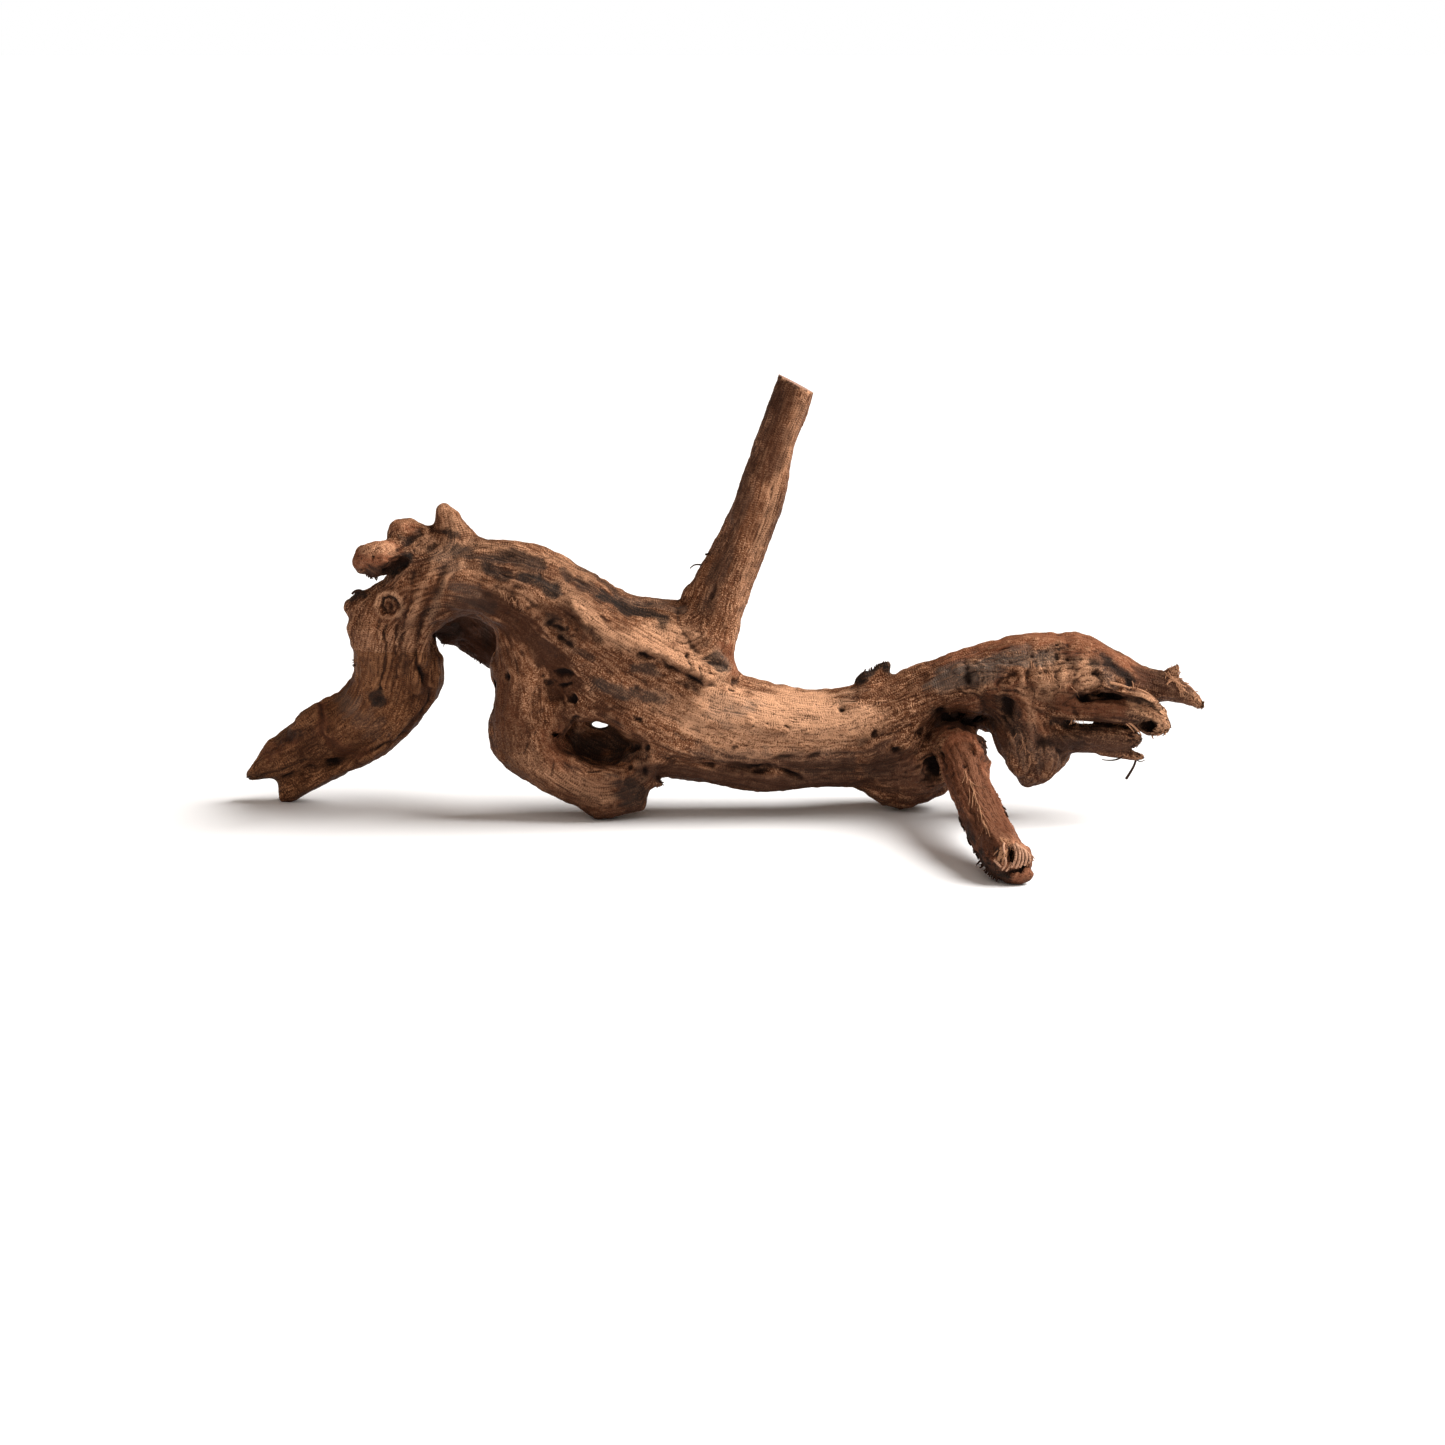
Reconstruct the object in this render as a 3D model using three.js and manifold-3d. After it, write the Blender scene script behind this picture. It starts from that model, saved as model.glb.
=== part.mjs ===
// Aquarium driftwood: one weathered root that stands on four points, parted at its main forks.
// Millimetres. +X runs to the right and +Y to the back of the piece as it is usually looked at, +Z is up.

import * as THREE from "three";
import { mergeVertices } from "three/addons/utils/BufferGeometryUtils.js";
import Module from "manifold-3d";

const wasm = await Module();
wasm.setup();

// Driving dimensions. Every place and thickness below is for a piece of NOMINAL_LENGTH,
// and is scaled to LENGTH.
const NOMINAL_LENGTH = 402;
const LENGTH = 402;
const SCALE = LENGTH / NOMINAL_LENGTH;
const FORK_GAP = 0.3; // between the pieces on either side of a fork
const FOOTPRINT_MIDDLE = [-0.9, -36.8]; // the middle of the box round the piece, seen from above

// The long hollows between a limb's strands: their depth as a share of the limb's radius, how many there are,
// how far they turn round the limb from one station to the next, and the smaller ones between them.
const FLUTE = 0.045;
const STRANDS = 3;
const TWIST = 0.7;
const FINE_FLUTE = { share: 0.6, strands: 5, twist: -1.7 };
const ROUND_TIP = 0.8;
const TO_THE_BACK = [0, 1, 0];
const UP = [0, 0, 1];

// Shapes

const vector = ([x, y, z]) => new THREE.Vector3(x, y, z);

// A closed three.js geometry as a solid that can be joined and cut.
function solidOf(geometry) {
  const bare = new THREE.BufferGeometry();
  bare.setAttribute("position", geometry.getAttribute("position"));
  bare.setIndex(geometry.index);
  const merged = mergeVertices(bare, 1e-4);
  const corners = merged.index.array;
  const faces = [];
  for (let i = 0; i < corners.length; i += 3) {
    const [a, b, c] = corners.subarray(i, i + 3);
    if (a !== b && b !== c && c !== a) faces.push(a, b, c);
  }
  return new wasm.Manifold(
    new wasm.Mesh({
      numProp: 3,
      vertProperties: merged.attributes.position.array,
      triVerts: new Uint32Array(faces),
    }),
  );
}

// A limb is a capsule bent along a smooth line through its stations. A station is [x, y, z, across, deep]:
// the middle of the wood, and how far it reaches from there across the limb and deepward. tip is how far each
// end bulges past its last station, as a share of the limb's thickness there.
function limb(stations, options = {}) {
  const { sides = 12, rings = 2 * (stations.length - 1), tip = [ROUND_TIP, ROUND_TIP] } = options;
  const { deepward = TO_THE_BACK, flute = FLUTE, phase = 0, strands = STRANDS } = options;
  const line = new THREE.CatmullRomCurve3(stations.map(vector));
  const sizes = stations.map(([, , , across, deep]) => vector([across, deep, 0]));
  const thickness = new THREE.CatmullRomCurve3(sizes);
  const geometry = new THREE.CapsuleGeometry(1, 1, 2, sides, rings);
  const position = geometry.getAttribute("position");
  for (let i = 0; i < position.count; i++) {
    const [px, py, pz] = [position.getX(i), position.getY(i), position.getZ(i)];
    const t = THREE.MathUtils.clamp(py + 0.5, 0, 1);
    const beyond = py - (t - 0.5);
    const along = line.getTangent(t);
    const deepAxis = vector(deepward).projectOnPlane(along).normalize();
    const acrossAxis = along.clone().cross(deepAxis);
    const { x: across, y: deep } = thickness.getPoint(t);
    const angle = Math.atan2(px, pz);
    const turn = TWIST * t * (stations.length - 1) + phase;
    const broad = Math.cos(strands * angle + turn);
    const fine = FINE_FLUTE.share * Math.cos(FINE_FLUTE.strands * angle + FINE_FLUTE.twist * turn);
    const swell = 1 + flute * (broad + fine);
    const bulge = (beyond * (beyond < 0 ? tip[0] : tip[1]) * (across + deep)) / 2;
    const point = line
      .getPoint(t)
      .addScaledVector(acrossAxis, px * across * swell)
      .addScaledVector(deepAxis, pz * deep * swell)
      .addScaledVector(along, bulge);
    position.setXYZ(i, point.x, point.y, point.z);
  }
  return solidOf(geometry);
}

// An egg-shaped lump or hollow with its middle at [x, y, z] and half sizes [rx, ry, rz], leaning by an angle
// in the plane of the front view.
function lump([x, y, z], [rx, ry, rz], lean = 0, sides = 8) {
  const geometry = new THREE.SphereGeometry(1, sides, Math.round(0.6 * sides));
  geometry.scale(rx, ry, rz).rotateY(-lean).translate(x, y, z);
  return solidOf(geometry);
}

// A flat slab as thin as a fork's gap: the place where two pieces part. along is the slab's normal, and
// reach is how far it extends [in the plane of the front view, in depth].
function parting({ at, along, reach }) {
  const normal = vector(along).normalize();
  const deepAxis = vector(Math.abs(normal.y) > 0.7 ? UP : TO_THE_BACK)
    .projectOnPlane(normal)
    .normalize();
  const side = normal.clone().cross(deepAxis);
  const turn = new THREE.Matrix4().makeBasis(side, normal, deepAxis).setPosition(vector(at));
  const slab = new THREE.BoxGeometry(2 * reach[0], FORK_GAP / SCALE, 2 * reach[1]);
  return solidOf(slab.applyMatrix4(turn));
}

const joined = (solids) => solids.reduce((whole, next) => whole.add(next));

// The limbs, from the left tip to the right

// The left leg comes down from the shoulder through a knee to a blunt point.
const leftLeg = () =>
  limb(
    [
      [-201, 27, 11.5, 3, 3],
      [-192, 27, 16.5, 8, 7],
      [-183, 26, 20.5, 10.5, 10],
      [-174, 25, 26.5, 12.3, 11.5],
      [-164, 22, 33, 13.4, 12.5],
      [-151, 18, 41.5, 14.2, 13],
      [-141, 14, 54.5, 15.2, 13.5],
      [-139.5, 12, 69, 16.6, 15],
      [-140, 10, 79, 18.4, 16.5],
      [-135.5, 9, 87, 15.8, 16.5],
      [-130, 8, 93, 13.2, 16],
      [-119, 6, 100, 13.6, 16],
    ],
    { rings: 18, phase: 0.6 },
  );

// A second strand runs along the underside of the leg, with a groove between, and swells behind the knee.
const legStrand = () =>
  limb(
    [
      [-187, 27, 2.4, 3.4, 6],
      [-176, 25, 9.6, 4, 8],
      [-165, 23, 15, 3.6, 8.5],
      [-154, 20, 20.8, 3.4, 8.5],
      [-141.5, 16, 30.2, 3.4, 8.5],
      [-131, 14, 40, 3.8, 9],
      [-124, 13, 49.5, 4.6, 10],
      [-121.8, 12, 58.5, 5, 10],
      [-125, 11, 70, 5, 10],
    ],
    { sides: 8, rings: 12, flute: 0 },
  );

// Raised strands on the front of the leg and the shoulder.
const legSinews = () =>
  joined([
    limb(
      [
        [-112, -7, 104, 6, 6],
        [-121, -5, 93, 6, 6],
        [-126, -2, 80, 5.4, 6],
        [-128.5, 1, 66, 5, 6],
        [-128, 4, 54, 3.6, 5],
      ],
      { sides: 8, flute: 0 },
    ),
    limb(
      [
        [-126, -7, 99, 5, 5],
        [-137, -3, 84, 4.8, 5],
        [-143, 0, 70, 4.2, 5],
        [-145, 3, 57, 3, 4],
      ],
      { sides: 8, flute: 0 },
    ),
  ]);

// Three stubs stand out of the shoulder, one of them upwards and two to the left, over a small lump.
const shoulderStubs = () =>
  joined([
    limb(
      [
        [-110, 2, 108, 13, 13],
        [-112, 2, 118, 8.5, 9],
        [-114.5, 2, 126, 5.6, 6],
        [-115.8, 2, 130, 3.6, 4],
      ],
      { sides: 10, rings: 4, phase: 1 },
    ),
    limb(
      [
        [-120, 8, 109, 8, 9],
        [-129, 8, 117, 6, 6.5],
        [-133.5, 8, 120, 5.4, 5.6],
      ],
      { sides: 10, rings: 3, phase: 2 },
    ),
    limb(
      [
        [-122, -1, 107, 8, 9],
        [-134, -3, 109.5, 7.2, 8],
        [-143, -3, 109.4, 7.2, 7.5],
        [-149, -3, 109, 5.8, 6],
      ],
      { sides: 10, rings: 4, phase: 4 },
    ),
    lump([-151.5, 8, 88.5], [6, 7, 5.5]),
    lump([-124, 2, 94.5], [18.5, 15.5, 17]),
  ]);

// The stem runs from the shoulder down to the right, and on above the floor.
const stem = () =>
  limb(
    [
      [-124, 4, 104, 14, 17],
      [-109.5, 4, 101, 16.2, 20],
      [-93, 4, 98.5, 17.6, 22],
      [-76, 4, 91.5, 20.6, 23],
      [-61.5, 4, 79.5, 23.2, 24],
      [-46.5, 4, 66.5, 24.4, 24],
      [-30.5, 4, 54.5, 24.6, 24],
      [-13.5, 4, 43.5, 22.5, 22],
      [6.5, 4, 40, 19.3, 21],
      [32.5, 4, 36, 16.8, 20],
      [53.5, 4, 37, 17, 20],
      [71.5, 5, 39, 18.4, 20],
      [79, 6, 35, 12, 16],
    ],
    { sides: 14, rings: 21, phase: 2.2, strands: 4, tip: [0.8, 0.4] },
  );

// The stem's back rises to a saddle on the left of the upright branch.
const saddle = () =>
  limb(
    [
      [-84, 4, 96, 13, 17],
      [-68, 4, 92.5, 13.6, 17],
      [-51.5, 4, 85.5, 13.6, 17],
      [-36, 4, 79, 13.4, 17],
      [-19, 4, 78.4, 13.4, 17],
      [-6, 4, 74, 13, 16],
    ],
    { sides: 10, rings: 7, phase: 1.1 },
  );

// Strands that stand proud of the stem: a ridge along its front, the lip over the hole, and one at the back.
const stemSinews = () =>
  joined([
    limb(
      [
        [-112, -7, 102, 7, 7],
        [-92, -10.5, 102, 8, 7],
        [-72, -12, 95, 9, 7.5],
        [-55, -12.8, 85, 10, 8],
        [-35, -12.8, 73.5, 10, 8],
        [-14, -11.4, 61, 9, 7],
        [6, -8, 50, 6, 5],
      ],
      { sides: 6, rings: 8, flute: 0 },
    ),
    limb(
      [
        [-66, -13, 47, 5, 5],
        [-51, -14, 49.4, 6.4, 6],
        [-34, -14, 43, 8, 7],
        [-17, -12.6, 34.5, 8, 7],
        [4, -11, 29, 5, 5],
        [22, -8, 29, 3.6, 4],
      ],
      { sides: 6, rings: 8, flute: 0 },
    ),
    limb(
      [
        [-108, 17, 103, 7, 6],
        [-84, 20, 95, 8, 7],
        [-58, 20, 79, 8, 7],
        [-34, 20, 60, 8, 7],
        [-8, 18, 46, 7, 6],
        [24, 17, 38, 6, 5],
      ],
      { sides: 6, rings: 8, flute: 0 },
    ),
  ]);

// A flat root runs along the underside of the stem, with an open seam between them.
const lowerRib = () =>
  limb(
    [
      [-36, 6, 24.5, 6.5, 12],
      [-20, 6, 21.5, 6.4, 14],
      [-8, 6, 20.5, 6.8, 15],
      [8, 6, 19, 8.6, 15],
      [17, 6, 18.8, 9.2, 15],
      [33, 6, 20, 8.6, 15],
      [50, 7, 21, 9.5, 15],
      [62, 9, 22, 11.5, 15],
    ],
    { rings: 11, phase: 3 },
  );

// The stem's right end swells down to the floor behind the front leg.
const belly = () =>
  joined([
    limb(
      [
        [48, 6, 30, 13, 16],
        [62, 9, 27, 16, 17],
        [77.5, 13, 19.2, 20.2, 18],
        [90, 14, 20.5, 14, 16],
        [98, 15, 23, 8, 10],
      ],
      { rings: 6, phase: 5 },
    ),
    lump([98.5, 10, 32.3], [11, 10, 9], 0.1),
  ]);

// The root loop hangs below the stem and comes back up to it round a hole.
const rootLoop = () =>
  limb(
    [
      [-77, 3, 78, 18, 20],
      [-80.5, 1, 52, 14.8, 17],
      [-81.6, -1, 34, 16, 16],
      [-76, -2, 26, 12.8, 15],
      [-67.5, -3, 20.4, 10.8, 14],
      [-56, -3, 13.8, 9.8, 14],
      [-44, -3, 9.6, 12, 13],
      [-38, -3, 18.5, 9, 12],
      [-32.5, -2, 26, 8, 13],
      [-24, 0, 36, 9.4, 15],
      [-17, 1, 45, 10, 15],
    ],
    { rings: 16, phase: 1.4 },
  );

// Thin wood closes most of the loop's hole at the back.
const loopBack = () => lump([-53, 8, 31], [20, 9, 17]);

// The wood bulges where the loop leaves the stem.
const loopShoulder = () => lump([-51, 1.5, 62], [29, 22, 21], -0.65, 12);

// A torn spur points to the right below the loop.
const loopSpur = () =>
  limb(
    [
      [-37, -4, 18, 6, 6],
      [-29, -5, 15.6, 3, 4],
      [-26, -5, 14.6, 1.4, 2],
    ],
    { sides: 8, rings: 2, flute: 0 },
  );

// A root crosses behind the arch, from the shoulder to the loop.
const backRoot = () =>
  joined([
    limb(
      [
        [-124, 18, 93, 10, 10],
        [-115, 30, 78.5, 10, 9],
        [-105, 35, 70.5, 10, 9],
        [-95, 32, 64, 9, 9],
        [-83, 22, 58, 9, 9],
      ],
      { sides: 8, rings: 6, phase: 2.5, flute: 0.08 },
    ),
    lump([-113, 29, 73], [6, 6, 6]),
  ]);

// The upright branch, and the plane through which its end is sawn off at a slant.
const upright = () =>
  limb(
    [
      [-10, 4, 62, 17, 18],
      [-8, 4, 72, 14, 15],
      [-5, 4, 82, 13.2, 13],
      [-2, 4, 92, 12.4, 12],
      [3, 5, 104, 11.4, 11],
      [9.5, 5.5, 118, 10.6, 10.4],
      [15.5, 6, 133, 10, 10],
      [18.5, 6.5, 146, 8.9, 9.2],
      [21.5, 7, 158.5, 8.2, 8.6],
      [26.2, 7.5, 171, 8, 8.4],
      [30.3, 8, 181, 7.9, 8.2],
      [35, 8.5, 193, 7.8, 8],
    ],
    { rings: 11, phase: 0.4 },
  );

const SAWN_END = { at: [30.3, 8, 181.5], up: [0.468, 0, 0.884] };

// The crown rises from the stem's right end and narrows into the upper prong, which has a small torn stub.
const crown = () =>
  limb(
    [
      [72, 4, 42, 16, 18],
      [90, 2, 56, 11.8, 15],
      [105.5, 2, 58.8, 14, 17],
      [120, 2, 59.4, 17.4, 20],
      [134, 2, 60, 19, 21],
      [144, 2, 62.6, 15.6, 20],
      [152, 2, 65.6, 12, 18],
      [162.5, 2, 61.2, 9.8, 15],
      [171, 2, 57.5, 7.6, 11],
      [177.5, 2, 56.4, 6.2, 8],
      [185.6, 1, 55.5, 6.2, 6.5],
      [192, 0, 53.3, 4.6, 5],
      [197.5, -1, 50, 3, 3.4],
      [200.5, -1, 47.6, 1.4, 1.8],
    ],
    { rings: 18, phase: 3.3 },
  );

const prongStub = () =>
  limb(
    [
      [183, 0, 57, 3, 3],
      [188, -1, 61.5, 1.9, 2],
      [191, -1, 64, 1, 1.2],
    ],
    { sides: 6, rings: 2, flute: 0 },
  );

// The jaw hangs below the crown as a thick plate that narrows downwards.
const jaw = () =>
  limb(
    [
      [127, 2, 58, 15, 17],
      [128, 2, 47, 17.5, 17],
      [129.5, 1, 36.5, 17.2, 14.5],
      [132, 0, 28, 16.2, 12],
      [132, 0, 21.5, 11.8, 9.5],
      [129.5, 0, 17, 7.2, 6.5],
      [128.3, 0, 14.8, 3.6, 3.5],
    ],
    { rings: 8, phase: 0.9 },
  );

// Broken prongs point to the right, one over another.
const middleProng = () =>
  limb(
    [
      [132, -6, 49, 5.4, 8],
      [146, -8, 47.6, 4.6, 7],
      [158.5, -9, 46.8, 4.6, 6.5],
      [168, -9, 46.2, 5, 6.5],
      [175.5, -9, 44.5, 5.4, 6],
      [181, -9, 42, 4.8, 5],
      [184.5, -9, 39.6, 2.8, 3],
    ],
    { sides: 10, rings: 9, phase: 1.9 },
  );

const lowerProng = () =>
  limb(
    [
      [134, -5, 34.5, 5.6, 8],
      [146, -6, 35, 4.8, 7],
      [158.5, -6, 35.2, 4.7, 6.5],
      [166.5, -6, 35, 4.2, 5],
      [171, -6, 34.2, 2.8, 3],
    ],
    { sides: 10, rings: 6, phase: 2.9 },
  );

// A thin shard lies under the lower prong, and a splinter in front of the upper one.
const shard = () =>
  limb(
    [
      [138, -3, 31, 3, 6],
      [154, -4, 29.6, 2.2, 4.5],
      [164.5, -4, 28, 2, 3.5],
      [172.5, -4, 26.6, 1.9, 2.5],
      [175.8, -4, 26.2, 1.1, 1.4],
    ],
    { sides: 8, rings: 4, flute: 0 },
  );

const splinter = () =>
  limb(
    [
      [156, -12, 59, 2.6, 4],
      [168, -13, 56, 2.2, 3.2],
      [177, -13, 52.6, 2, 2.6],
      [181.5, -12.4, 49.4, 1.2, 1.6],
    ],
    { sides: 8, rings: 4, flute: 0 },
  );

// The front leg slants forward and down from the belly to a torn foot.
const frontLeg = () =>
  limb(
    [
      [96, 12, 33, 9, 9],
      [98.5, -4, 31.2, 9.8, 10],
      [99.8, -24, 27, 9.4, 9.6],
      [101, -44, 22.4, 8.8, 9.2],
      [103, -62, 18.2, 8.4, 8.8],
      [105.4, -80, 14.6, 8.6, 8.6],
      [108.6, -95, 11.4, 9.4, 8.8],
      [112, -107, 8.4, 9.6, 9],
      [113.6, -113, 6.6, 7.8, 7.4],
    ],
    { rings: 9, phase: 0.2, deepward: UP, tip: [0.5, 0.5] },
  );

// The bowl in the loop, the narrow gap out of its back, the pits in the seam, and the larger knots.
const hollows = () =>
  joined([
    lump([-51, -14, 32.4], [13.4, 16, 10.4], 0, 12),
    limb(
      [
        [-52, -30, 47, 1.5, 3.4],
        [-52, 34, 33.4, 1.5, 3.4],
      ],
      { sides: 8, rings: 1, flute: 0, deepward: [1, 0, 0] },
    ),
    lump([-69.5, -22, 82], [4, 6, 3.2], -0.5),
    lump([-66.5, -20, 61.5], [3.2, 6, 1.8], -0.3),
    lump([-63.5, -18, 50.5], [2.2, 6, 1.6], 0.5),
    lump([16, -11, 20.5], [8, 6, 2.2]),
    lump([120, -18, 46], [2.4, 6, 6.5], 0.1),
    lump([88, -6, 19], [5, 9, 10], -0.2),
    lump([166, -14, 60], [2, 5, 6], -0.9),
    lump([-141, -8, 88.5], [3.6, 4, 3.6]),
    lump([73.5, -14, 30], [3.4, 4, 3]),
  ]);

// Where each piece parts from its neighbour.
const FORKS = [
  { at: [-138, 12, 70], along: [0, 0.05, 1], reach: [24, 26] }, // left leg from shoulder
  { at: [-97.5, 4, 99], along: [1, 0, -0.1], reach: [23, 32] }, // shoulder from stem
  { at: [-61.5, 8, 42.8], along: [0.574, 0, 0.819], reach: [51, 38] }, // loop from stem
  { at: [-5.5, 4, 78], along: [0.774, 0, 0.632], reach: [23, 24] }, // upright from stem
  { at: [89.8, 3, 55.5], along: [0.97, 0, 0.24], reach: [16, 24] }, // crown from stem
  { at: [99.4, -16, 28.8], along: [0, 1, -0.2], reach: [14, 13] }, // front leg from stem
  { at: [127, 1, 38.6], along: [0, 0, 1], reach: [20.1, 24] }, // jaw from crown
  { at: [147, -5, 32], along: [1, 0, 0], reach: [10, 16] }, // lower prong from jaw
  { at: [152, -8, 47], along: [1, 0, 0], reach: [5.8, 12] }, // middle prong from crown
  { at: [174.5, 2, 58], along: [1, 0, -0.1], reach: [9, 10.7] }, // upper prong from crown
  { at: [-119, 25, 87], along: [0.5, 0.6, -0.7], reach: [14, 14] }, // back root from shoulder
  { at: [-92, 30.5, 61.5], along: [0.8, -0.6, -0.3], reach: [13, 13] }, // back root from loop
];

// A point inside each piece, in its middle, and its colour.
const PIECES = {
  left_leg: { inside: [-164, 22, 33], colour: 0x6b4a36 },
  shoulder: { inside: [-122, 6, 100], colour: 0x84573c },
  middle_stem: { inside: [20, 4, 38], colour: 0x8c5b3e },
  root_loop: { inside: [-80, 0, 33], colour: 0x754c35 },
  back_root: { inside: [-105, 36, 70.5], colour: 0x4a2f22 },
  upright_branch: { inside: [15, 6, 132], colour: 0x6f4632 },
  crown: { inside: [135, 4, 58], colour: 0x8a5338 },
  jaw: { inside: [131, 1, 30], colour: 0x6a4331 },
  upper_prong: { inside: [182, 2, 55], colour: 0x8a5a3d },
  middle_prong: { inside: [168, -9, 44.5], colour: 0x84573b },
  lower_prong: { inside: [155, -6, 35.2], colour: 0x6a4230 },
  front_leg: { inside: [103, -55, 20], colour: 0x8e5a3d },
};

// The whole root

function wholeRoot() {
  const sawn = upright().trimByPlane(
    SAWN_END.up.map((n) => -n),
    -vector(SAWN_END.at).dot(vector(SAWN_END.up)),
  );
  const wood = joined([
    stem(),
    saddle(),
    leftLeg(),
    legStrand(),
    legSinews(),
    shoulderStubs(),
    stemSinews(),
    lowerRib(),
    belly(),
    rootLoop(),
    loopBack(),
    loopShoulder(),
    loopSpur(),
    backRoot(),
    sawn,
    crown(),
    prongStub(),
    jaw(),
    middleProng(),
    lowerProng(),
    shard(),
    splinter(),
    frontLeg(),
  ]);
  return wood.subtract(hollows()).trimByPlane(UP, 0); // the feet are worn flat where they stand
}

// The body of wood that holds a point.
function holding(bodies, point) {
  const probe = lump(point, [0.5, 0.5, 0.5], 0, 6);
  return bodies.find((body) => body.intersect(probe).volume() > 0);
}

function geometryOf(solid) {
  const { numProp, vertProperties, triVerts } = solid.getMesh();
  const geometry = new THREE.BufferGeometry();
  geometry.setAttribute("position", new THREE.BufferAttribute(vertProperties, numProp));
  geometry.setIndex(new THREE.BufferAttribute(triVerts, 1));
  geometry.computeVertexNormals();
  return geometry;
}

function woodMaterial(colour) {
  return new THREE.MeshStandardMaterial({ color: colour, roughness: 0.85, metalness: 0 });
}

const driftwood = new THREE.Group();
driftwood.name = "driftwood";
driftwood.scale.setScalar(SCALE);
driftwood.position.set(-FOOTPRINT_MIDDLE[0] * SCALE, -FOOTPRINT_MIDDLE[1] * SCALE, 0);

const bodies = wholeRoot().subtract(joined(FORKS.map(parting))).decompose();
for (const [name, { inside, colour }] of Object.entries(PIECES)) {
  const mesh = new THREE.Mesh(geometryOf(holding(bodies, inside)), woodMaterial(colour));
  mesh.name = name;
  driftwood.add(mesh);
}

export default driftwood;
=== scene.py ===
# %% [markdown]
# # Aquarium driftwood
#
# The real object is one weathered root: a curved stem on four low points, with a bowl worn into a loop of
# it, a sawn upright branch, a leg at each end and broken prongs on the right. This lesson dresses the plain
# CAD solids as wood. The solids are fused into one skin, the skin is softened and carved along the grain,
# and it is parted again at the forks at the end, so that no seam shows and the grain runs on from piece to
# piece.

# %% Load the frame
import math

import bpy
import numpy as np
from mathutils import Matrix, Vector


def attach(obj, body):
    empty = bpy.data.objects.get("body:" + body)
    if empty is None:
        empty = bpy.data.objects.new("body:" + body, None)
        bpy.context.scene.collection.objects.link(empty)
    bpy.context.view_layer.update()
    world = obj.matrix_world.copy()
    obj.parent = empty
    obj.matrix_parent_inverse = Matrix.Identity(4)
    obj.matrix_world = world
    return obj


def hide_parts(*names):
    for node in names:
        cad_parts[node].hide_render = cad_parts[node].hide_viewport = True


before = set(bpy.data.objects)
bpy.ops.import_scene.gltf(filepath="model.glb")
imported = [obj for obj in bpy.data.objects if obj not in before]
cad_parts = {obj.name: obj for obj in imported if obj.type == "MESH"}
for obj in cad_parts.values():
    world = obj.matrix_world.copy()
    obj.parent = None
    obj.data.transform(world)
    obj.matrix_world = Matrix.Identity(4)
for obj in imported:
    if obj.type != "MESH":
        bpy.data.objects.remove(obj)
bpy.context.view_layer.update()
MM = 0.001
print("CAD nodes:", sorted(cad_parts))

# %% [markdown]
# ## Camera
# The photograph was taken with a long lens, slightly from above. The camera is set up first, because the
# marks on the wood are later placed by the photograph's pixels: a helper turns a place on the wood into the
# pixel where the camera sees it. The wood was drawn round its own zero point, so another helper brings
# places from the drawing into the frame.

# %% The camera and the photograph's pixels
PHOTO_SIDE = 1445
LENS = 85.0
SENSOR = 36.0
DISTANCE = 1.433
ELEVATION = math.radians(12)
DRAWN_ZERO = np.array([0.9, 36.8, 0.0])  # millimetres, in the frame
AIM = Vector((0.9, 36.8, 40.0)) * MM

backwards = Vector((0, -math.cos(ELEVATION), math.sin(ELEVATION)))
bpy.ops.object.camera_add(location=AIM + DISTANCE * backwards, rotation=(math.pi / 2 - ELEVATION, 0, 0))
camera = bpy.context.object
camera.name = "photo_camera"
camera.data.lens = LENS
camera.data.sensor_width = SENSOR
camera.data.clip_end = 20
bpy.context.scene.camera = camera

FOCAL_PIXELS = LENS / SENSOR * PHOTO_SIDE
CAMERA_RIGHT = np.array([1.0, 0.0, 0.0])
CAMERA_UP = np.array([0.0, math.sin(ELEVATION), math.cos(ELEVATION)])
CAMERA_AHEAD = np.array([0.0, math.cos(ELEVATION), -math.sin(ELEVATION)])
AIM_DRAWN = np.array([0.0, 0.0, 40.0])


def on_photo(at):
    """The photograph's pixel of each drawn place, and its depth in millimetres."""
    offset = at - AIM_DRAWN
    depth = DISTANCE / MM + offset @ CAMERA_AHEAD
    column = PHOTO_SIDE / 2 + FOCAL_PIXELS * (offset @ CAMERA_RIGHT) / depth
    row = PHOTO_SIDE / 2 - FOCAL_PIXELS * (offset @ CAMERA_UP) / depth
    return column, row, depth


def off_photo(u, v, y):
    """The drawn place that is seen at a pixel and lies at a given depth y."""
    ray = FOCAL_PIXELS * CAMERA_AHEAD + (u - PHOTO_SIDE / 2) * CAMERA_RIGHT - (v - PHOTO_SIDE / 2) * CAMERA_UP
    eye = AIM_DRAWN - DISTANCE / MM * CAMERA_AHEAD
    return eye + ray * (y - eye[1]) / ray[1]


def in_frame(drawn):
    """A drawn place in millimetres as a place in the frame in metres."""
    return (np.asarray(drawn, float) + DRAWN_ZERO) * MM


print("one millimetre at the aim is", round(FOCAL_PIXELS * MM / DISTANCE, 2), "photo pixels")

# %% [markdown]
# ## Floor and light
# The wood stands on a white table in a bright studio. The main light comes from the upper right, through a
# big diffuser. A Sun lamp with a wide angle does the same and lights the table evenly to the horizon, so
# that table and backdrop are one white. A weaker one from the left keeps the shadows open. The room is
# white to look at, but lights the wood only a little and warmly, or the shadows would fill up.

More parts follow.
